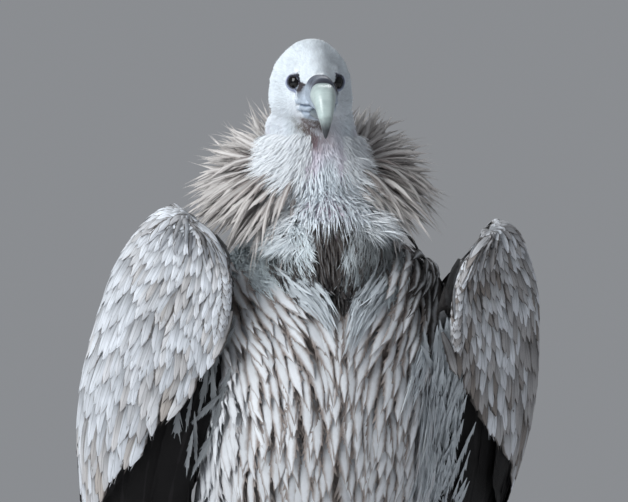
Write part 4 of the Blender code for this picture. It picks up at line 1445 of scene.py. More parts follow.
@dataclass
class HeadDown:
    """The white down of head and neck, the bristles of lores and chin, and the wisps at its foot."""

    skin: Skin
    face_gap: float = 0.75 * MM
    foot: float = 0.652

    def spacing(self, points: Array) -> Array:
        """How far apart the tufts stand."""
        local = HEAD.inward(points) / MM
        z = points[:, 2]
        gap = through(((0.64, 1.2), (0.70, 0.98), (0.75, 0.88), (0.78, 0.80), (0.85, 0.80)), z) * MM
        front = ease(0.0, 12.0, local[:, 1]) * ease(-60, -40, local[:, 2])
        gap = gap * (1 - front) + self.face_gap * front
        thin = mound(z, 0.700, 0.030) * ease(0.15, 0.6, ripple(points, 0.016, 5))
        gap = gap * (1 + 0.9 * thin)
        near = np.hypot(points[:, 0] - SHIFT[0] + 0.008, 0.8 * (points[:, 1] - SHIFT[1]) + 0.04) < 0.088
        bare = MARKS.bareness(points) + 0.25 * ripple(points, 0.0035, 6) + ease(30.0, 33.0, local[:, 1])
        gap = gap * (1 + 2.2 * ease(0.25, 0.9, bare))
        foot = self.foot + 0.012 * mound(points[:, 0] - SHIFT[0] + 0.008, 0.0, 0.036)
        return np.where(near & (z > foot) & (bare < 0.62), gap, np.inf)

    def build(self) -> list[Piece]:
        """Lays the down, and returns its pieces."""
        roots, out = scatter(self.skin, self.spacing, 11)
        rng = np.random.default_rng(12)
        local = HEAD.inward(roots) / MM
        z = roots[:, 2]
        stray = ripple(roots, 0.012, 3) * 0.35 + rng.normal(0, 0.22, len(roots))
        stray = stray * through(((0.65, 1.5), (0.75, 1.2), (0.80, 0.7)), z)
        ahead = strayed(flat(head_flow(roots, out), out), out, stray)
        length = through(((0.65, 13.0), (0.70, 8.0), (0.75, 6.0), (0.80, 4.6), (0.85, 4.2)), z)
        front = ease(-10.0, 12.0, local[:, 1]) * ease(-60, -40, local[:, 2])
        reach, _, past = HEAD.round_eye(HEAD.inward(roots))
        lid = ease(34.0, 18.0, past) * (reach < 20.0 * MM)
        length = (length * (1 - front) + 2.7 * front) * (1 - 0.5 * lid)
        length = length * rng.uniform(0.70, 1.30, len(roots)) * MM
        rise = through(((0.65, 0.50), (0.72, 0.42), (0.78, 0.32), (0.82, 0.28)), z) * (1 - 0.35 * front)
        rise = rise + ripple(roots, 0.010, 8) * 0.10 + rng.normal(0, 0.06, len(roots))
        spine = blades(roots, ahead, out, length, rise, np.full(len(roots), 0.10))
        tint = self.tints(roots, local, rng)
        width = (0.22 + 0.032 * length / MM) * MM
        look = DownFinish("down_white", 0.90).material()
        coat = Coat("head_and_neck_down", Slot.DOWN, look, seed=13, soft=0.90)
        coat.add(spine, TuftForm(), width, tint, PLAIN, unrolled(roots))
        return [coat.build(), self.wisps(), self.fluff()]

    def tints(self, roots: Array, local: Array, rng: np.random.Generator) -> Array:
        """White, with brown bristles on the chin, lilac at the throat and a greyer foot of the neck."""
        z = roots[:, 2]
        tint = np.tile(np.array(MARKS.white), (len(roots), 1))
        # Painted light: the down is brighter below the head than on it.
        tint = tint * (rng.uniform(0.90, 1.06, len(roots)) * (0.96 + 0.16 * ease(0.775, 0.745, z)))[:, None]
        x, y, up = local.T
        chin = 1.3 * mound(x, -4, 20) * ease(-26, -31, up) * ease(-64, -52, up) * ease(-8, 4, y)
        chin = chin * np.clip(0.85 + 0.5 * ripple(roots, 0.006, 9), 0, 1)
        lilac = mound(z, 0.704, 0.042) * np.clip(0.36 + 0.45 * ripple(roots, 0.018, 5), 0, 0.7)
        return painted(
            tint,
            (MARKS.chin_brown, chin),
            (MARKS.face_skin, MARKS.bareness(roots) * 0.9),
            (MARKS.neck_skin, lilac * ease(-0.030, -0.060, roots[:, 1] - SHIFT[1])),
            (MARKS.down_grey, ease(0.675, 0.655, z) * 0.20),
        )

    def fluff(self) -> Piece:
        """Deep loose down either side of the neck's foot, in front of the ruff's roots."""
        middle = SHIFT[0] - 0.006

        def spacing(points: Array) -> Array:
            """How far apart the fluff stands."""
            x, y, z = points.T
            beside = (np.abs(x - middle) > 0.014) & (np.abs(x - middle) < 0.075) & (y < SHIFT[1] - 0.045)
            tall = (z > np.where(x > middle, 0.660, 0.648)) & (z < 0.752)
            return np.where(beside & tall, 0.78 * MM, np.inf)

        roots, out = scatter(self.skin, spacing, 25)
        rng = np.random.default_rng(26)
        number = len(roots)
        high = ease(0.700, 0.755, roots[:, 2])
        aside = (roots[:, 0] - middle) / 0.045
        way = np.column_stack((aside * (1.25 - 0.35 * high), np.full(number, 0.10), np.full(number, -0.80)))
        way = unit(way + rng.normal(0, 0.22, way.shape) + 0.25 * ripple(roots, 0.014, 27)[:, None])
        length = rng.uniform(12, 23, number) * (1 - 0.50 * high) * ease(0.1, 0.75, np.abs(aside)) + 5.0
        rise = rng.uniform(0.15, 0.50, number)
        spine = blades(roots, way, out, length * MM, rise, np.full(number, 0.16))
        # Painted light: the fluff is brighter than the cream it is tinted from.
        tint = np.array(MARKS.cream) * rng.uniform(1.04, 1.18, (len(roots), 1))
        tint = painted(tint, (MARKS.down_pale, ease(0.675, 0.650, roots[:, 2]) * 0.6))
        coat = Coat("neck_fluff", Slot.DOWN, DownFinish("down_fluff", 0.90).material(), seed=28, soft=0.95)
        coat.add(spine, TuftForm(), rng.uniform(0.28, 0.50, len(roots)) * MM, tint, PLAIN, unrolled(roots))
        return coat.build()

    def wisps(self) -> Piece:
        """Long loose white wisps that hang from the neck's foot."""

        def spacing(points: Array) -> Array:
            """How far apart the wisps stand."""
            near = np.hypot(points[:, 0] - SHIFT[0] + 0.006, points[:, 1] - SHIFT[1] + 0.05) < 0.09
            grows = near & (points[:, 2] > 0.670) & (points[:, 2] < 0.720) & (points[:, 1] < SHIFT[1] - 0.03)
            return np.where(grows, 2.1 * MM, np.inf)

        roots, _ = scatter(self.skin, spacing, 21)
        rng = np.random.default_rng(22)
        length = rng.uniform(13, 27, len(roots)) * MM
        lift = ((0.0, 0.06), (0.4, 0.60), (1.0, 1.0))
        depth = rng.uniform(6.0, 12.0, len(roots)) * MM
        spine = lay(self.skin, roots, head_flow, length, lift, 5, rng.normal(0, 0.30, len(roots)), depth)
        form = VaneForm(WISP, steps=5, locks=5, strip=0.35, sweep=0.22, loose=0.35)
        tint = np.array(MARKS.white) * rng.uniform(0.98, 1.14, (len(roots), 1))
        coat = Coat("neck_wisps", Slot.DOWN, DownFinish("down_wisps", 0.92).material(), seed=23, soft=0.92)
        coat.add(spine, form, rng.uniform(0.5, 1.0, len(roots)) * MM, tint, PLAIN, unrolled(roots))
        return coat.build()


# ---------------------------------------------------------------- face: bill, cere and eyes


def ringed(points: Array, triangles: Array, name: str, lie: Array) -> Mesh:
    """A mesh of a hard part, with where each point lies on it and a plain unwrap."""
    mesh = mesh_of(name, points, triangles)
    carry(mesh, "lie", lie)
    map_points(mesh, np.stack((lie[:, 0] * 0.98 + 0.01, lie[:, 1] * 0.5 + 0.25), axis=1))
    return mesh


def round_lie(t: Array, angle: Array) -> Array:
    """Where a closed form's points lie: how far along, and from 0 at the top to 1 at the bottom."""
    return np.stack((t, 0.5 - 0.5 * np.sin(angle), 0 * t), axis=1)


@dataclass
class Bill:
    """Both horns of the bill, built fine round the same paths as their solids, and the cere behind them."""

    culmen: Keys = (
        (0.00, (48.0, -1.0)), (0.20, (58.0, -2.0)), (0.42, (66.5, -5.5)), (0.62, (73.0, -13.5)),
        (0.82, (78.0, -25.0)), (1.00, (79.5, -38.0)),
    )
    culmen_half: Keys = (
        (0.00, (11.5, 12.5)), (0.20, (11.5, 13.0)), (0.42, (10.2, 12.8)), (0.62, (8.0, 10.0)),
        (0.82, (4.8, 6.2)), (1.00, (1.0, 1.2)),
    )
    jaw: Keys = ((0.00, (30.0, -20.6)), (0.50, (50.0, -20.3)), (1.00, (69.0, -19.2)))
    jaw_half: Keys = ((0.00, (9.0, 5.0)), (0.50, (8.0, 4.6)), (1.00, (3.6, 2.4)))
    nostril: Colour = (0.008, 0.008, 0.010)
    steps: int = 56
    turns: int = 56

    def horn(self, path: Keys, half: Keys, t: Array, angle: Array, upper: bool) -> Array:
        """Places on a horn, with a rounded ridge, flat flanks and a thin cutting edge."""
        middle = through(path, t)
        ahead = unit(through(path, np.minimum(t + 0.02, 1)) - through(path, np.maximum(t - 0.02, 0)))
        wide, high = through(half, t).T
        open_by = dome(t, 0.05) * dome(1 - t, 0.04)
        rise, over = np.sin(angle), np.cos(angle)
        keel = -rise if upper else rise
        thin = 1 - 0.42 * np.clip(keel, 0, 1) ** 3
        ridge = 1 - 0.10 * np.clip(-keel, 0, 1) ** 4 if upper else 1.0
        flank = np.sign(over) * np.abs(over) ** 0.86
        across = flank * wide * thin * open_by
        off = rise * high * ridge * open_by
        if upper:
            off = off + 0.9 * mound(t, 0.50, 0.09) * np.clip(keel, 0, 1) * open_by
        forward = middle[:, 0] - ahead[:, 1] * off
        up = middle[:, 1] + ahead[:, 0] * off
        return HEAD.outward(np.stack((across, forward, up), axis=1) * MM)

    def slit(self, forward: Array, up: Array, height: float, width: float, start: float = 45.8) -> Array:
        """1 along the slanting nostril, or along a line beside it, and 0 away from it."""
        middle = 5.5
        return mound(up, middle, height) * mound(forward, start - 0.42 * (up - middle), width)

    def saddle(self, t: Array, angle: Array) -> Array:
        """Places on the cere, with a long slanting nostril either side and a rolled front edge."""
        forward = 32.0 + 24.0 * t
        wide = 14.0 - 2.3 * ease(0.0, 0.9, t)
        top, bottom = 14.8 - 0.4 * t, -16.8
        open_by = dome(t, 0.05) * dome(1 - t, 0.10)
        rise, over = np.sin(angle), np.cos(angle)
        middle, half = (top + bottom) / 2, (top - bottom) / 2
        up = middle + rise * half * open_by
        hole, lip = self.slit(forward, up, 4.6, 1.25), self.slit(forward, up, 6.2, 1.5, 42.9)
        roll = 0.5 * mound(t, 0.80, 0.10)
        dent = -2.6 * hole + 0.7 * lip + roll + 0.25 * np.sin(forward * 1.9 + up * 0.6) * mound(t, 0.2, 0.25)
        across = np.sign(over) * np.abs(over) ** 0.9 * wide * open_by + over * dent
        return HEAD.outward(np.stack((across, forward, up + rise * dent * 0.5), axis=1) * MM)

    def build(self) -> list[Piece]:
        """Makes upper horn, lower horn and cere."""
        # The flanks darken to the cutting edge: partly the horn's own tone, partly painted shade.
        finish = HornFinish("bill_horn", (0.42, 0.50, 0.49), (0.026, 0.030, 0.036), (0.13, 0.17, 0.18))
        # The lower horn is a darker copy of the horn: painted shade under the upper horn.
        shaded = HornFinish("jaw_horn_painted_shade", (0.12, 0.14, 0.15), (0.030, 0.034, 0.040), (0.08, 0.10, 0.11))
        made = []
        for name, path, half, upper, look in (
            ("bill_upper_horn", self.culmen, self.culmen_half, True, finish.material()),
            ("bill_lower_horn", self.jaw, self.jaw_half, False, shaded.material()),
        ):
            points, faces, t, angle = closed_form(
                lambda t, a: self.horn(path, half, t, a, upper), self.steps, self.turns
            )
            mesh = ringed(points, faces, name, round_lie(t * (1.0 if upper else 0.8), angle))
            made.append(show(name, mesh, look, Slot.BILL_HORN, ("bill_upper" if upper else "bill_lower",)))
        points, faces, t, angle = closed_form(self.saddle, 96, 120)
        mesh = ringed(points, faces, "cere_waxy", round_lie(t, angle))
        _, forward, up = HEAD.face(points)
        tint = painted(
            np.array(MARKS.face_skin) * 0.75,
            (MARKS.cere_dark, ease(3.0, 9.0, up) * 0.9),
            # Painted shade in the groove along the cere's front edge.
            (MARKS.socket, mound(t, 0.97, 0.06) * 0.8),
            (self.nostril, self.slit(forward, up, 4.4, 1.2) * 1.3),
            (MARKS.face_skin, ease(-2.0, -10.0, up) * 0.8),
        )
        carry(mesh, "vane", np.column_stack((tint, np.ones(len(tint)))))
        look = SkinFinish("cere_skin", 1100.0).material()
        made.append(show("cere_waxy", mesh, look, Slot.BARE_SKIN, ("cere",)))
        return made


@dataclass
class Eyes:
    """Two wet eyes that look out and ahead from under their lids."""

    def build(self) -> list[Piece]:
        """Makes both eyes."""
        look = EyeFinish().material()
        return [self.eye(side, sign, look) for side, sign in SIDES.items()]

    def eye(self, side: str, sign: float, look: Material) -> Piece:
        """Makes one eye, a ball with a slightly domed front."""
        centre, gaze = HEAD.eye_centre(), HEAD.gaze_way()
        side_way = unit(np.cross(gaze, (0.0, 0.0, 1.0)))
        up_way = np.cross(side_way, gaze)

        def place(t: Array, angle: Array) -> Array:
            """Places on the ball, from its front to its back."""
            turn = np.arccos(np.clip(1 - 2 * t, -1, 1))
            ring = side_way[None] * np.cos(angle)[:, None] + up_way[None] * np.sin(angle)[:, None]
            radius = HEAD.eye_radius + 0.9 * MM * mound(turn, 0.0, 0.36)
            radius = radius * (1 - 0.45 * ease(math.radians(36), math.radians(60), turn))
            way = gaze[None] * np.cos(turn)[:, None] + ring * np.sin(turn)[:, None]
            local = centre + way * radius[:, None]
            local[:, 0] *= sign
            return HEAD.outward(local)

        points, faces, t, angle = closed_form(place, 48, 48)
        turn = np.arccos(np.clip(1 - 2 * t, -1, 1))
        lie = np.stack((turn, angle, 0 * t), axis=1)
        mesh = ringed(points, faces, f"eye_{side}_ball", lie * (1 / math.pi, 1 / (2 * math.pi), 0))
        mesh.attributes["lie"].data.foreach_set("vector", np.ascontiguousarray(lie, np.float32).ravel())
        return show(f"eye_{side}_ball", mesh, look, Slot.EYE, (f"eye_{side}",))


# ---------------------------------------------------------------- ruff


@dataclass
class Ruff:
    """The spread collar: layers of long lance feathers with pale shafts and frayed, paler tips."""

    form: RuffForm = field(default_factory=RuffForm)
    layers: int = 7
    each: int = 76
    root: float = -0.28
    depth: float = 26.0 * MM
    steps: int = 8

    def sheet(self, turn: Array, out: Array) -> tuple[Array, Array]:
        """Places on the collar, and directions square to it towards the throat."""
        at = self.form.point(turn, out)
        round_way = self.form.point(turn + 0.01, out) - self.form.point(turn - 0.01, out)
        out_way = self.form.point(turn, out + 0.02) - self.form.point(turn, out - 0.02)
        face = unit(np.cross(out_way, round_way))
        return at, face * np.sign(face @ np.array((0.0, -1.0, 0.3)))[..., None]

    def build(self) -> Piece:
        """Lays the feathers, from the back layer to the front one."""
        rng = np.random.default_rng(31)
        look = VaneFinish(
            "ruff_vane", barbs=46.0, barb_shade=0.22, margin_shade=0.12, tip_pale=0.75, mottle=0.10
        ).material()
        coat = Coat("ruff_lances", Slot.RUFF_FEATHER, look, ("ruff",), seed=32)
        form = VaneForm(LANCE_FULL, self.steps, locks=14, strip=0.50, sweep=0.10, crown=0.20, loose=0.22)
        share = np.linspace(0.0, 1.0, self.steps + 1)[None]
        for layer in range(self.layers):
            front = layer / (self.layers - 1)
            turn = np.linspace(-0.99, 0.99, self.each) + rng.normal(0, 0.016, self.each)
            reach = rng.uniform(0.80, 1.06, self.each) * (1 - 0.16 * front**2)
            out = self.root + (reach[:, None] - self.root) * share
            swing = rng.normal(0, 0.045, self.each)[:, None] * share**2
            at, face = self.sheet(turn[:, None] + swing, out)
            off = (front - 0.55) * self.depth + rng.normal(0, 3.0 * MM, self.each)
            bow = rng.normal(0, 4.5 * MM, self.each)[:, None] * np.sin(share * math.pi)
            at = at + face * (bow + off[:, None] * share**0.6)[..., None]
            at[..., 2] -= (rng.uniform(1.0, 9.0, self.each) * MM)[:, None] * share**3
            spine = Spine.from_path(at, face).twisted(rng.normal(0, 0.40, self.each))
            # Painted shade: the back layers are darker than the front one; the spread within each layer is the
            # feathers' own tone.
            tone = rng.uniform(0.50, 1.05, (self.each, 1)) * (0.66 + 0.34 * front)
            pale = rng.uniform(0.75, 1.0, (self.each, 1)) * np.array(MARKS.ruff_shaft)
            streak = np.column_stack((pale, rng.uniform(0.18, 0.46, self.each)))
            place = np.stack((0.5 + turn * 0.46, np.full(self.each, 0.08 + 0.84 * front)), axis=1)
            width = rng.uniform(3.2, 5.2, self.each) * MM
            coat.add(spine, form, width, np.array(MARKS.ruff) * tone, streak, place, 6 * MM)
        return coat.build()


# ---------------------------------------------------------------- body


@dataclass
class BodyCoat:
    """The streaked feathers from shoulders to trousers, and the crop's patch with its down and plumes."""

    skin: Skin
    cleft: float = 0.003
    lift: Keys = ((0.0, 0.05), (0.35, 0.55), (0.75, 1.0), (1.0, 1.08))
    gaps: Keys = ((0.11, 5.0), (0.20, 7.5), (0.30, 9.8), (0.45, 10.0), (0.58, 9.0), (0.67, 7.0))
    lengths: Keys = ((0.11, 22.0), (0.20, 42.0), (0.30, 62.0), (0.42, 68.0), (0.55, 60.0), (0.67, 42.0))
    widths: Keys = ((0.11, 3.6), (0.20, 6.0), (0.30, 8.0), (0.45, 8.6), (0.58, 7.6), (0.67, 5.5))

    def flow(self, points: Array, out: Array) -> Array:
        """The way feathers lie: down the front, in to the cleft under the crop, and back along the back."""
        x, z = points[:, 0] - SHIFT[0], points[:, 2]
        behind = ease(-0.2, 0.6, out[:, 1])
        inward = ease(0.49, 0.60, z) * (1 - behind) * np.clip((x - self.cleft) / 0.035, -1, 1)
        spread = ease(0.47, 0.40, z) * (1 - behind) * ease(0.25, 0.30, z) * np.clip(x / 0.06, -1, 1)
        return np.column_stack((0.10 * spread - 0.85 * inward, 0.62 * behind, np.full(len(x), -1.0)))

    def spacing(self, points: Array) -> Array:
        """How far apart the streaked feathers stand, where neither neck, wing nor patch takes their place."""
        z = points[:, 2]
        clear = z < 0.672 - 0.02 * ease(0.0, -0.06, points[:, 1] - SHIFT[1])
        clear &= self.skin.wing_share(points) < 0.5
        clear &= MARKS.crop_patch(points) < np.where(z > 0.615, -0.45, 0.1)
        return np.where(clear & (MARKS.down_patch(points) < 0.25), through(self.gaps, z) * MM, np.inf)

    def contour(self) -> None:
        """The streaked contour feathers, in a front and a back piece."""
        look = VaneFinish("body_vane", streak_soft=0.30, barb_shade=0.14, margin_shade=0.12, mottle=0.14)
        look = look.material()
        form = VaneForm(LANCE_FULL, 6, locks=9, strip=0.62, sweep=0.13, crown=0.30, loose=0.16, columns=5)
        roots, out = scatter(self.skin, self.spacing, 41)
        for name, seed, chosen in (("front", 42, out[:, 1] < 0.1), ("back", 43, out[:, 1] >= 0.1)):
            at, away = roots[chosen], out[chosen]
            rng = np.random.default_rng(seed)
            z = at[:, 2]
            length = through(self.lengths, z) * rng.uniform(0.85, 1.18, len(at)) * MM
            depth = self.skin.coat_depth(at) + rng.normal(0, 0.8 * MM, len(at))
            stray = rng.normal(0, 0.13 + 0.14 * ease(0.47, 0.38, z)) + 0.22 * ripple(at, 0.045, 44)
            spine = lay(self.skin, at, self.flow, length, self.lift, 6, stray, depth)
            kept = spine.even()
            spine, at, away, width = spine.only(kept), at[kept], away[kept], through(self.widths, z)[kept]
            number = len(at)
            spine = spine.twisted(rng.normal(0, 0.11, number))
            vane, streak = MARKS.coat(at, away)
            vane = vane * rng.uniform(0.84, 1.16, (number, 1))
            streak[:, :3] *= rng.uniform(0.86, 1.05, (number, 1))
            streak[:, 3] *= rng.uniform(0.75, 1.2, number)
            width = width * rng.uniform(0.85, 1.15, number) * MM
            coat = Coat(f"body_feathers_{name}", Slot.BODY_FEATHER, look, seed=seed, soft=0.5)
            coat.add(spine, form, width, vane, streak, unrolled(at), 5 * MM)
            coat.build()

    def crop(self) -> None:
        """Dark hair-like feathers with thin pale shafts on the crop, over dark fluff."""
        look = VaneFinish("crop_vane", streak_soft=0.14, barb_shade=0.2, margin_shade=0.3, mottle=0.2)

        def spacing(points: Array) -> Array:
            """How far apart the crop's feathers stand."""
            edge = np.where(points[:, 2] > 0.615, -0.25, -0.12)
            return np.where(MARKS.crop_patch(points) > edge, 3.0 * MM, np.inf)

        at, _ = scatter(self.skin, spacing, 51)
        rng = np.random.default_rng(52)
        number = len(at)
        low = ease(0.665, 0.600, at[:, 2])
        length = rng.uniform(13, 24, number) * MM
        stray = rng.normal(0, 0.22, number)
        depth = (6 + 6 * low) * MM * rng.uniform(0.7, 1.3, number)
        spine = lay(self.skin, at, self.converge, length, self.lift, 4, stray, depth)
        vane = painted(MARKS.crop_brown, (MARKS.crop_dark, low))
        pale = np.array(MARKS.streak) * rng.uniform(0.06, 0.42, (number, 1))
        streak = np.column_stack((pale, rng.uniform(0.0, 0.26, number) * (1 - 0.4 * low)))
        form = VaneForm(LANCE, 4, locks=4, strip=0.6, sweep=0.2, loose=0.3)
        coat = Coat("crop_hairs", Slot.CROP_FEATHER, look.material(), ("crop",), seed=53)
        coat.add(spine, form, rng.uniform(1.3, 2.2, number) * MM, vane, streak, unrolled(at))
        coat.build()

    def converge(self, points: Array, _: Array) -> Array:
        """The way to the crop's lower point."""
        aside = (self.cleft + SHIFT[0] - points[:, 0]) * 7.0
        return np.column_stack((aside, 0 * aside, 0 * aside - 0.6))

    def gather(self, points: Array, out: Array) -> Array:
        """The way in and down to the cleft, flatter than the crop's."""
        return self.converge(points, out) * (2.0, 1.0, 1.0)

    def soft_down(self) -> None:
        """Fluffy grey down either side of the crop."""

        def spacing(points: Array) -> Array:
            """How far apart the tufts stand."""
            return np.where(MARKS.down_patch(points) > -0.15, 0.8 * MM, np.inf)

        at, away = scatter(self.skin, spacing, 61)
        rng = np.random.default_rng(62)
        number = len(at)
        way = flat(self.flow(at, away) + rng.normal(0, 0.28, at.shape), away)
        length = rng.uniform(10, 19, number) * MM
        spine = blades(at, way, away, length, rng.uniform(0.35, 0.65, number), np.full(number, 0.14))
        left = ease(0.0, 0.02, at[:, 0] - SHIFT[0]) * ease(0.62, 0.64, at[:, 2])
        inside = (MARKS.down_grey, MARKS.down_patch(at) * 1.6)
        tint = painted(MARKS.down_pale, inside, (MARKS.crop_brown, 0.45 * left))
        tint = tint * rng.uniform(0.85, 1.12, (number, 1))
        look = DownFinish("down_grey", 0.85).material()
        coat = Coat("shoulder_down", Slot.DOWN, look, seed=63, soft=0.85)
        coat.add(spine, TuftForm(), rng.uniform(0.32, 0.62, number) * MM, tint, PLAIN, unrolled(at))
        coat.build()

    def plumes(self) -> None:
        """Soft white plumes: a V under the crop that runs into the cleft, and a fringe on the left flank."""
        look = VaneFinish("plume_vane", barb_shade=0.10, margin_shade=0.12, mottle=0.10, sheen=0.3).material()
        form = VaneForm(WISP, 7, locks=9, strip=0.36, sweep=0.16, crown=0.35, loose=0.45)
        rng = np.random.default_rng(71)
        coat = Coat("white_plumes", Slot.DOWN, look, seed=72, soft=0.6)
        for aside, height, number, lengths, flow, deep in (
            ((-0.060, -0.030), (0.632, 0.610), 90, (40, 60), self.gather, 16.0),
            ((0.030, 0.058), (0.600, 0.632), 110, (40, 64), self.gather, 16.0),
            ((0.088, 0.112), (0.470, 0.585), 110, (60, 85), self.flow, 18.0),
        ):
            x = rng.uniform(*aside, number) + SHIFT[0]
            z = np.linspace(*height, number) + rng.normal(0, 3 * MM, number)
            ahead = np.column_stack((x, np.full(number, SHIFT[1] - 0.30), z))
            at = np.array([self.skin.tree.ray_cast(Vector(p), Vector((0, 1, 0)))[0] for p in ahead])
            length = rng.uniform(*lengths, number) * MM
            depth = rng.uniform(0.75, 1.1, number) * deep * MM
            spine = lay(self.skin, at, flow, length, self.lift, 7, rng.normal(0, 0.10, number), depth)
            tint = np.array(MARKS.plume) * rng.uniform(0.85, 1.05, (number, 1))
            spine = spine.twisted(rng.normal(0, 0.2, number))
            width = rng.uniform(2.0, 3.8, number) * MM
            streak = np.column_stack((tint, np.full(number, 0.1)))
            coat.add(spine, form, width, tint, streak, unrolled(at), 5 * MM)
        coat.build()

    def build(self) -> None:
        """Lays every tract of the body."""
        self.contour()
        self.crop()
        self.soft_down()
        self.plumes()


# ---------------------------------------------------------------- wings and tail


@dataclass
class Wing:
    """One folded wing: rows of pale coverts, black flight feathers under them, and a lining inside."""

    side: str
    rows: int = 14
    crowding: float = 1.85
    secondaries: int = 19
    primaries: int = 10
    seed: int = 80
    cap_rows: tuple = ((32, 2.5, 3.9), (26, 1.95, 3.6), (20, 1.45, 3.4), (14, 1.0, 3.3), (8, 0.55, 3.2))

    def __post_init__(self) -> None:
        """Reads the wing's form and starts its chance numbers."""
        self.form = WingForm(self.side)
        self.rng = np.random.default_rng(self.seed + (self.side == "left"))

    def shafts(
        self, root: Array, tip: Array, across: Array, drift: Array, inset: Keys, facing: float, steps: int
    ) -> Spine:
        """Shafts that run down the wing.

        Args:
            root: How far down each starts.
            tip: How far down each ends.
            across: Where each tip is, from the leading edge.
            drift: How far across each has come from its root.
            inset: How deep under the outer surface they lie, in metres, by share of their length.
            facing: 1 if their upper side faces out, -1 if it faces the body.
            steps: Steps in each.

        Returns:
            The shafts.
        """
        share = np.linspace(0.0, 1.0, steps + 1)[None]
        down = root[:, None] + (tip - root)[:, None] * share
        over = across[:, None] - drift[:, None] * (1 - share)
        out = self.form.normal(np.maximum(down, 0.003), np.clip(over, 0, 1))
        at = self.form.point(down, over) - out * through(inset, share[0])[None, :, None]
        return Spine.from_path(at, out * facing)

    def places(self, down: Array, across: Array) -> Array:
        """Places on the wing's own unwrap."""
        return np.stack((0.04 + 0.92 * across, 0.02 + 0.95 * down / 0.80), axis=1)

    def row(self, ends: Callable[[Array], Array], half: float, stagger: float, first: float = 0.01) -> Array:
        """Evenly spaced places across the wing, along a row of tips."""
        fine = np.linspace(first, 0.99, 120)
        line = self.form.point(ends(fine), fine)
        run = np.concatenate(((0.0,), np.cumsum(np.linalg.norm(np.diff(line, axis=0), axis=1))))
        number = max(int(run[-1] / (1.45 * half)), 4)
        wanted = np.arange(number) + 0.5 * stagger + self.rng.uniform(-0.18, 0.18, number)
        return np.interp(wanted / number * run[-1], run, fine)

    def coverts(self) -> None:
        """Rows of coverts, smallest at wrist and leading edge, the lowest row long."""
        side, rng = self.side, self.rng
        look = VaneFinish(
            "covert_vane", barbs=60.0, barb_shade=0.10, margin_shade=0.60, margin_width=0.22,
            streak_soft=0.12, shaft_shade=0.30, mottle=0.14, root_shade=0.50,
        ).material()
        name, nodes = f"wing_{side}_covert_feathers", (f"wing_{side}_coverts",)
        coat = Coat(name, Slot.COVERT_FEATHER, look, nodes, seed=81)
        form = VaneForm(ROUND, 7, locks=5, strip=0.92, sweep=0.05, crown=0.42, loose=0.05, columns=5)
        inset = ((0.0, 5.5 * MM), (0.35, 2.6 * MM), (1.0, 0.6 * MM))
        for row in range(self.rows, 0, -1):
            low = row / self.rows
            level, above = low**self.crowding, ((row - 1) / self.rows) ** self.crowding
            half = (3.3 + 5.5 * level**0.8) * MM
            across = self.row(lambda a: self.form.covert_end(a) * level, half, row % 2)
            number = len(across)
            end = self.form.covert_end(across)
            gap = end * (level - above)
            tip = end * level * rng.uniform(0.97, 1.03, number) + rng.normal(0, 0.27, number) * gap
            tip = tip + 0.30 * gap * (row == self.rows) * rng.random(number)
            root = np.maximum(tip - (gap * 1.9 + half * 2.6), 0.0)
            width = half * (0.62 + 0.38 * ease(0.0, 0.22, across)) * rng.uniform(0.88, 1.12, number)
            spine = self.shafts(root, tip, across, rng.normal(0.0, 0.018, number), inset, 1.0, 7)
            spine = spine.twisted(rng.normal(0, 0.09, number))
            brown = np.clip(ripple(spine.path[:, -1], 0.05, 83) * 0.5 + rng.normal(0, 0.22, number), 0, 1)
            brown = np.clip(brown + 0.55 * (low > 0.8) * (rng.random(number) < 0.28), 0, 1)
            buff = MARKS.covert_buff
            # The bird's left wing is browner: partly worn brown feathers, partly painted shade of that wing.
            if side == "left":
                brown = np.clip(brown + 0.10 + 0.6 * (rng.random(number) < 0.38), 0, 1)
                buff = MARKS.covert_brown
            pale = painted(MARKS.covert, (buff, brown)) * rng.uniform(0.78, 1.06, (number, 1))
            edge = painted(MARKS.covert_edge, (MARKS.covert_dark, brown))
            streak = np.column_stack((pale, rng.uniform(0.74, 0.90, number) - 0.22 * brown))
            coat.add(spine, form, width, edge, streak, self.places(tip, across), 8 * MM)
        self.edging(coat, form)
        self.cap(coat, form)
        coat.build()

    def worn(self, number: int, mean: float) -> tuple[Array, Array]:
        """Edge colours and streaks of small coverts, which are worn brown by mean at their middle."""
        # On the bird's left wing the brown is raised, partly as painted shade.
        brown = np.clip(self.rng.normal(mean, 0.25, number) + 0.3 * (self.side == "left"), 0, 1)
        pale = painted(MARKS.covert, (MARKS.covert_brown, brown))
        edge = painted(MARKS.covert_edge, (MARKS.covert_dark, brown))
        return edge, np.column_stack((pale, self.rng.uniform(0.70, 0.86, number)))

    def edging(self, coat: Coat, form: VaneForm) -> None:
        """Small coverts that wrap round the leading edge, from the wrist down."""
        rng = self.rng
        deep = 6.0 * MM
        share = np.linspace(0.0, 1.0, 8)[None]
        for turn in np.radians((150.0, 118.0, 86.0, 54.0, 22.0)):
            tip = np.arange(0.008, 0.112, 0.0075)
            tip = tip + rng.normal(0, 1.5 * MM, len(tip))
            size = ease(0.0, 0.30, tip)
            root = np.maximum(tip - (16.0 + 26.0 * size) * MM, -0.004)
            down = root[:, None] + (tip - root)[:, None] * share
            out = self.form.normal(np.maximum(down, 0.003), 0 * down)
            edge = self.form.point(np.maximum(down, 0.0), 0 * down)
            lead = unit(edge - self.form.point(np.maximum(down, 0.0), 0 * down + 0.05))
            lean = (turn + rng.normal(0, 0.10, len(tip)))[:, None, None]
            away = out * np.cos(lean) + lead * np.sin(lean)
            lift = (deep * (0.75 + 0.35 * share))[..., None] * np.minimum(1.0, 0.35 + down / 0.03)[..., None]
            spine = Spine.from_path(edge - (out * 0.9 + lead * 0.8) * deep + away * lift, away)
            tone, streak = self.worn(len(tip), 0.15)
            spot = self.places(tip, 0.01 * turn + 0 * tip)
            coat.add(spine, form, (3.6 + 3.4 * size) * MM, tone, streak, spot, 8 * MM)

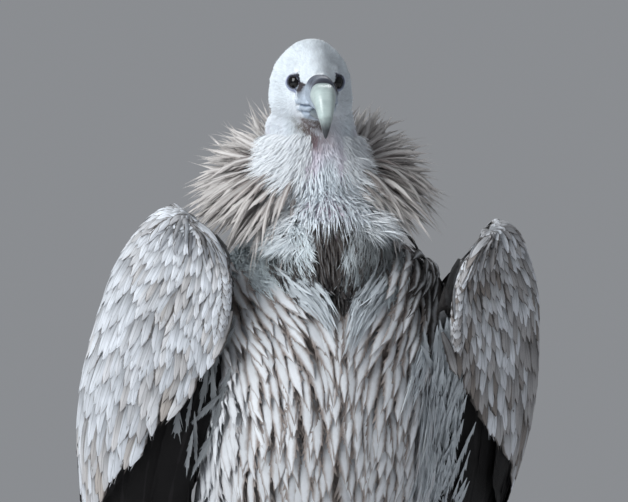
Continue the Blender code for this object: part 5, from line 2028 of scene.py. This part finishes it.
    def tube(self, turn: Array, down: Array) -> tuple[Array, Array]:
        """The wing's whole girth.

        Args:
            turn: Once round it, from the leading edge over the outer side and back by the inner side.
            down: Metres down from the wrist.

        Returns:
            The places, and directions away from the girth's middle.
        """
        across = 0.5 - 0.5 * np.cos(turn)
        inset = 0.026 * np.clip(-np.sin(turn), 0, 1)
        near = np.maximum(down, 0.003)
        at = self.form.point(down, across) - self.form.normal(near, across) * inset[..., None]
        middle = self.form.point(down, 0.5 + 0 * across) - self.form.normal(near, 0.5 + 0 * across) * 0.012
        return at, unit(at - middle)

    def cap(self, coat: Coat, form: VaneForm) -> None:
        """Small coverts that close the wrist's top, spreading from it like scales."""
        rng = self.rng
        rim = np.linspace(0, 2 * math.pi, 24, endpoint=False)
        upward = -unit(self.form.point(0.03, 0.5) - self.form.point(0.0, 0.5))
        top = self.tube(rim, np.zeros(24))[0].mean(axis=0) + upward * 6.0 * MM
        for row, (number, end, size) in enumerate(self.cap_rows):
            turn = np.arange(number) + 0.5 * (row % 2) + rng.normal(0, 0.12, number)
            turn = turn / number * 2 * math.pi
            last = end + rng.normal(0, 0.05, number)
            q = last[:, None] * np.linspace(0.0, 1.0, 8)[None] ** 0.9
            q = np.maximum(q, last[:, None] - 1.1)
            edge, away = self.tube(turn[:, None] + 0 * q, np.maximum(q - 1.0, 0.0) * 0.022)
            bend = np.clip(q, 0, 1)[..., None] * math.pi / 2
            on_cap = top + (edge - top) * np.sin(bend)
            on_cap = on_cap + upward * 3.0 * MM * (np.cos(bend) + np.sin(bend) - 1)
            out = unit(upward * np.cos(bend) + away * np.sin(bend))
            spine = Spine.from_path(on_cap + out * (0.4 + 0.5 * row) * MM, out)
            spine = spine.twisted(rng.normal(0, 0.08, number))
            tone, streak = self.worn(number, 0.12)
            spot = self.places(np.clip(last - 1, 0, 2) * 0.02, turn / (2 * math.pi))
            coat.add(spine, form, np.full(number, size * MM), tone, streak, spot, 8 * MM)

    def flight(self) -> None:
        """Secondaries with the inmost ones longest, and primaries that fan to the wing's tip."""
        look = VaneFinish(
            "flight_vane", roughness=0.6, sheen=0.0, barbs=120.0, barb_shade=0.30, margin_shade=-0.8,
            margin_width=0.14, streak_soft=0.02, mottle=0.25, gloss=0.12,
        ).material()
        nodes = (f"wing_{self.side}_secondaries", f"wing_{self.side}_primaries")
        coat = Coat(f"wing_{self.side}_flight_feathers", Slot.FLIGHT_FEATHER, look, nodes, seed=84)
        share = np.linspace(0.0, 1.0, self.primaries)
        end = 0.50 + 0.28 * np.sin(np.minimum(share * 1.25, 1.0) * math.pi / 2)
        self.quills(coat, 0.10 + 0.20 * share, end, 0.03 + 0.67 * share, 17.0 * MM, 19.5)
        share = np.linspace(0.0, 1.0, self.secondaries)
        across = 0.22 + 0.74 * share
        end = 0.330 + 0.230 * np.sin(share * math.pi / 2) + self.rng.normal(0, 0.004, len(share))
        self.quills(coat, 0.06 + 0.25 * across, end, across, 10.5 * MM, 15.5)
        coat.build()

    def quills(self, coat: Coat, start: Array, end: Array, across: Array, deep: float, half: float) -> None:
        """Adds one rank of flight feathers, each lapping the next.

        Args:
            coat: The piece to add them to.
            start: How far down the wing each starts.
            end: How far down it each ends.
            across: Where each lies, from the leading edge.
            deep: How deep their roots lie, in metres.
            half: Half their width, in millimetres.
        """
        rng, number = self.rng, len(across)
        form = VaneForm(LONG, 10, locks=8, strip=0.96, sweep=0.03, crown=0.16, loose=0.03, columns=5)
        spine = self.shafts(start, end, across, 0 * across, ((0.0, deep), (1.0, deep * 0.35)), 1.0, 10)
        spine = spine.twisted(0.10 + rng.normal(0, 0.03, number))
        tone = rng.uniform(0.8, 1.3, (number, 1)) * np.array(MARKS.flight)
        streak = np.column_stack((2.6 * tone, np.full(number, 0.05)))
        width = half * MM * rng.uniform(0.94, 1.06, number)
        coat.add(spine, form, width, tone, streak, self.places(end, across), 12 * MM)

    def lining(self) -> None:
        """Underwing coverts on the inner side, pale under painted shade, with loose plumes along the leading
        edge.
        """
        look = VaneFinish("lining_vane", barb_shade=0.12, mottle=0.14, streak_soft=0.2).material()
        coat = Coat(f"wing_{self.side}_lining", Slot.COVERT_FEATHER, look, seed=86)
        form = VaneForm(ROUND, 6, locks=6, strip=0.85, sweep=0.08, crown=0.30, loose=0.10)
        rng = self.rng
        # Painted shade on the bird's right wing: its lining stays dark down to the lowest rows, and its few
        # plumes are dimmed.
        dark = self.side == "right"
        for row in range(12, 1, -1):
            level = row / 12
            half = (5.0 + 5.0 * level) * MM
            across = self.row(lambda a: self.form.covert_end(a) * level * 0.96, half, row % 2, 0.02)
            number = len(across)
            tip = self.form.covert_end(across) * level * 0.96 + rng.normal(0, 4 * MM, number)
            root = np.maximum(tip - (40 + 26 * level) * MM, 0.008)
            thick = min(1.0, 0.30 + level) * MM
            inset = ((0.0, 18.0 * thick), (0.4, 23.0 * thick), (1.0, 25.0 * thick))
            spine = self.shafts(root, tip, across, rng.normal(0, 0.02, number), inset, -1.0, 6)
            # Painted shade: covert_dark laid over the pale lining, less on the top rows and on the left wing's
            # lowest rows.
            shade = 0.94 - 0.4 * (not dark) * ease(0.6, 0.9, level) - 0.45 * ease(0.55, 0.35, level) + 0 * tip
            worn = rng.random(number) * 0.8
            tint = painted(MARKS.plume, (MARKS.belly, worn), (MARKS.covert_dark, shade))
            streak = np.column_stack((tint * 1.2, np.full(number, 0.3)))
            coat.add(spine, form, np.full(number, half), tint, streak, self.places(tip, across), 8 * MM)
        number, last, plume_painted_light = (16, 0.30, 0.35) if dark else (190, 0.50, 1.0)
        tip = np.linspace(0.14, last, number) + rng.normal(0, 6 * MM, number)
        root = np.maximum(tip - rng.uniform(60, 96, number) * MM, 0.07)
        across = rng.uniform(-0.03, 0.04, number)
        inset = ((0.0, 9.0 * MM), (0.5, 13.0 * MM), (1.0, 15.0 * MM))
        spine = self.shafts(root, tip, across, rng.normal(0.0, 0.03, number), inset, -1.0, 7)
        spine = spine.twisted(rng.normal(0, 0.20, number))
        plume = VaneForm(LANCE, 7, locks=9, strip=0.50, sweep=0.12, crown=0.3, loose=0.25)
        tint = np.array(MARKS.plume) * rng.uniform(0.80, 1.06, (number, 1)) * plume_painted_light
        streak = np.column_stack((tint, np.full(number, 0.1)))
        spot = self.places(tip, np.clip(across, 0, 1))
        coat.add(spine, plume, rng.uniform(2.6, 4.6, number) * MM, tint, streak, spot, 8 * MM)
        coat.build()

    def build(self) -> None:
        """Makes the wing's three pieces."""
        self.coverts()
        self.flight()
        self.lining()


@dataclass
class Tail:
    """Twelve broad dark feathers, nearly closed."""

    base: tuple = (0.0, 0.138, 0.345)
    fall: float = math.radians(54.0)
    length: float = 0.385
    number: int = 12
    half: float = 15.0 * MM

    def build(self) -> Piece:
        """Lays the feathers from the outermost to the middle pair."""
        look = VaneFinish(
            "tail_vane", roughness=0.6, sheen=0.08, barbs=90.0, barb_shade=0.28, margin_shade=-0.6,
            margin_width=0.16, streak_soft=0.02, mottle=0.2,
        ).material()
        coat = Coat("tail_feathers", Slot.FLIGHT_FEATHER, look, ("tail",), seed=91)
        aside = np.linspace(-0.92, 0.92, self.number)
        share = np.linspace(0.0, 1.0, 11)[None]
        run = np.array((0.0, math.cos(self.fall), -math.sin(self.fall)))
        rise = np.array((0.0, math.sin(self.fall), math.cos(self.fall)))
        length = self.length * (1 - 0.10 * aside**2)
        over = aside[:, None] * (0.042 + 0.048 * share)
        arch = 0.020 * (1 - aside[:, None] ** 2) * (1 - 0.5 * share)
        arch = arch + (1 - np.abs(aside))[:, None] * 3 * MM
        at = np.array(self.base) + SHIFT + run * (length[:, None] * share)[..., None] + rise * arch[..., None]
        at[..., 0] += over
        up = rise[None, None] + np.array((0.3, 0.0, 0.0)) * aside[:, None, None] + 0 * at
        spine = Spine.from_path(at, unit(up)).twisted(0.10 * np.sign(aside))
        rng = np.random.default_rng(92)
        tone = rng.uniform(0.85, 1.3, (self.number, 1))
        streak = np.column_stack((np.array(MARKS.flight) * 3.0 * tone, np.full(self.number, 0.05)))
        place = np.stack((0.5 + aside * 0.45, np.full(self.number, 0.3)), axis=1)
        form = VaneForm(LONG, steps=10, locks=8, strip=0.96, sweep=0.03, crown=0.14, loose=0.04, columns=5)
        width = np.full(self.number, self.half)
        coat.add(spine, form, width, np.array(MARKS.flight) * 1.3 * tone, streak, place, 30 * MM)
        return coat.build()


# ---------------------------------------------------------------- legs


@dataclass
class Leg:
    """One scaled leg with its foot and toes, and the four claws."""

    side: str
    toe_turns: dict = field(default_factory=lambda: {"middle": 4, "inner": -31, "outer": 38, "hind": 188})
    toe_lengths: dict = field(default_factory=lambda: {"middle": 98, "inner": 66, "outer": 72, "hind": 40})
    claw_lengths: dict = field(default_factory=lambda: {"middle": 30, "inner": 28, "outer": 24, "hind": 28})
    voxel: float = 1.5 * MM
    scute: float = 4.6 * MM
    ridge: float = 0.55 * MM
    claw_bend: float = math.radians(75)
    claw_start: float = math.radians(17)
    claw_drop: float = 0.42
    claw_half: float = 5.6 * MM
    claw_root: tuple = (-6 * MM, 10.5 * MM)
    floor_gap: float = 0.6 * MM

    def ahead(self, toe: str) -> Array:
        """The way a toe points."""
        heading = math.radians(self.toe_turns[toe] * SIDES[self.side] - 90)
        return np.array((math.cos(heading), math.sin(heading), 0.0))

    def heel(self) -> Array:
        """The middle of the foot, on the floor."""
        return middle_of(f"foot_{self.side}") * (1, 1, 0)

    def scaled(self) -> Piece:
        """Shank, foot and toes in one scaled skin, with broad plates down the front and on the toes."""
        nodes = (f"shank_{self.side}", f"foot_{self.side}", *(f"toe_{self.side}_{toe}" for toe in TOES))
        mesh = one_skin([solid_of(node) for node in nodes], 0.4 * MM, self.voxel, 5)
        points, triangles = points_of(mesh), triangles_of(mesh)
        bpy.data.meshes.remove(mesh)
        normals = point_normals(points, triangles)
        points = points - normals * 0.4 * MM
        away = points - self.heel()
        along = np.stack([away @ self.ahead(toe) for toe in TOES], axis=1)
        aside = np.stack([np.linalg.norm(away[:, :2] - along[:, [i]] * self.ahead(toe)[None, :2], axis=1)
                          for i, toe in enumerate(TOES)], axis=1)
        nearest = np.where(along > 0, aside, 1.0).argmin(axis=1)
        run = along[np.arange(len(points)), nearest]
        on_toe = ease(0.016, 0.022, run) * ease(0.030, 0.022, points[:, 2])
        on_shank = ease(0.026, 0.034, points[:, 2])
        plate = on_toe * ease(0.25, 0.6, normals[:, 2]) + on_shank * ease(0.35, 0.7, -normals[:, 1])
        where = np.where(on_toe > 0.5, run, points[:, 2]) / self.scute
        crest = np.sin(math.pi * (where % 1.0)) ** 0.6
        points = points + normals * (plate * (crest - 0.6) * self.ridge)[:, None]
        points[:, 2] = np.maximum(points[:, 2], 0.0)
        mesh = mesh_of(f"leg_{self.side}_scales", points, triangles)
        carry(mesh, "lie", np.stack((plate, crest, 0 * run), axis=1))
        turn = np.arctan2(away[:, 0], -away[:, 1]) / (2 * math.pi)
        map_points(mesh, np.stack((0.5 + turn * 0.96, 0.02 + points[:, 2] / 0.14 * 0.9), axis=1))
        look = ScaleFinish(f"leg_scales_{self.side}").material()
        return show(f"leg_{self.side}_scales", mesh, look, Slot.LEG_SKIN, nodes)

    def claw(self, toe: str, look: Material) -> Piece:
        """One hooked claw that comes down just clear of the floor."""
        ahead = self.ahead(toe)
        aside = np.array((-ahead[1], ahead[0], 0.0))
        root = self.heel() + ahead * (self.toe_lengths[toe] + 4) * MM
        start, (behind, height) = self.claw_start, self.claw_root
        arm = self.claw_lengths[toe] * MM / self.claw_bend

        def place(t: Array, angle: Array) -> Array:
            """Places on the claw, from its root to its point."""
            swept = start + self.claw_bend * t
            out = arm * (np.sin(swept) - math.sin(start)) + behind
            drop = arm * (math.cos(start) - np.cos(swept)) * self.claw_drop
            girth = self.claw_half * (1 - t) ** 0.75 * dome(t, 0.10)
            across = ahead * np.sin(swept)[:, None] + np.array((0, 0, 1.0)) * np.cos(swept)[:, None]
            below = np.where(np.sin(angle) < 0, 0.82, 1.0)
            at = root + ahead * out[:, None] + np.array((0, 0, 1.0)) * (height - drop)[:, None]
            at = at + aside * (np.cos(angle) * girth * 0.78)[:, None]
            at = at + across * (np.sin(angle) * girth * below)[:, None]
            at[:, 2] = np.maximum(at[:, 2], self.floor_gap)
            return at

        points, faces, t, angle = closed_form(place, 22, 18)
        name = f"claw_{self.side}_{toe}_horn"
        mesh = ringed(points, faces, name, round_lie(t, angle))
        return show(name, mesh, look, Slot.CLAW_HORN, (f"claw_{self.side}_{toe}",))

    def build(self, claw_look: Material) -> None:
        """Makes the leg's pieces."""
        self.scaled()
        for toe in TOES:
            self.claw(toe, claw_look)


# ---------------------------------------------------------------- stage


@dataclass(frozen=True)
class Studio:
    """A plain pale floor, soft lamps and the camera."""

    target: tuple = (-0.003, -0.1018, 0.637)
    azimuth: float = math.radians(-12.0)
    elevation: float = math.radians(3.0)
    distance: float = 2.4
    lens: float = 140.0
    floor_radius: float = 2.4
    world_tint: Colour = (0.40, 0.415, 0.44)
    world_level: float = 0.64

    def place(self, azimuth: float, elevation: float, distance: float) -> Vector:
        """A place round the target."""
        level = math.cos(elevation)
        back = Vector((math.sin(azimuth) * level, -math.cos(azimuth) * level, math.sin(elevation)))
        return Vector(self.target) + back * distance

    def aim(self, name: str, data: bpy.types.ID, azimuth: float, elevation: float, distance: float) -> Piece:
        """Stands a camera or lamp round the target, and turns it to face the target."""
        made = bpy.data.objects.new(name, data)
        made.location = self.place(azimuth, elevation, distance)
        made.rotation_euler = (Vector(self.target) - made.location).to_track_quat("-Z", "Y").to_euler()
        bpy.context.scene.collection.objects.link(made)
        return made

    def lamp(
        self, name: str, turn: float, rise: float, away: float, size: float, watts: float, tint: Colour
    ) -> None:
        """Adds a square soft lamp that faces the bird.

        Args:
            name: Its name.
            turn: How far round the bird it stands, in degrees.
            rise: How far up, in degrees.
            away: How far away, in metres.
            size: Its side, in metres.
            watts: Its power.
            tint: The colour of its light.
        """
        data = bpy.data.lights.new(name, "AREA")
        data.energy, data.size, data.color = watts, size, tint
        self.aim(name, data, math.radians(turn), math.radians(rise), away)

    def build(self) -> None:
        """Makes camera, lamps, world and floor."""
        scene = bpy.context.scene
        data = bpy.data.cameras.new("camera")
        data.lens, data.sensor_width = self.lens, 36.0
        scene.camera = self.aim("camera", data, self.azimuth, self.elevation, self.distance)
        scene.view_settings.view_transform = "Standard"
        self.lamp("key", -56.0, 27.0, 2.4, 1.5, 72.0, (0.97, 0.99, 1.0))
        self.lamp("fill", 50.0, 12.0, 2.8, 1.6, 2.5, (0.90, 0.95, 1.0))
        self.lamp("back", 165.0, 40.0, 2.6, 1.2, 24.0, (0.95, 0.97, 1.0))
        world = bpy.data.worlds.new("studio")
        world.use_nodes = True
        world.node_tree.nodes["Background"].inputs[0].default_value = (*self.world_tint, 1.0)
        world.node_tree.nodes["Background"].inputs[1].default_value = self.world_level
        scene.world = world
        shape = bmesh.new()
        bmesh.ops.create_circle(shape, cap_ends=True, segments=96, radius=self.floor_radius)
        mesh = bpy.data.meshes.new("floor")
        shape.to_mesh(mesh)
        shape.free()
        mesh.materials.append(StageFinish().material())
        floor = bpy.data.objects.new("floor", mesh)
        floor.location.z = -0.0005
        scene.collection.objects.link(floor)
        floor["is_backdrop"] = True


# ---------------------------------------------------------------- main


def corners(box: tuple) -> list[list[float]]:
    """A box's two corners as plain lists."""
    return [list(map(float, corner)) for corner in box]


def main() -> None:
    """Builds the bird's skin, coat and hard parts, and reports each."""
    logging.basicConfig(level=logging.INFO, format="%(message)s")
    solid_box = corners(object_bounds())
    Studio().build()
    skin = Skin()
    skin.build()
    Bill().build()
    Eyes().build()
    HeadDown(skin).build()
    Ruff().build()
    BodyCoat(skin).build()
    for side in SIDES:
        Wing(side).build()
    Tail().build()
    claw_look = HornFinish("claw_horn", MARKS.claw, MARKS.claw_tip, MARKS.claw_side).material()
    for side in SIDES:
        Leg(side).build(claw_look)
    {"cad": solid_box, "visual": corners(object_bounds())}


if __name__ == "__main__":
    main()
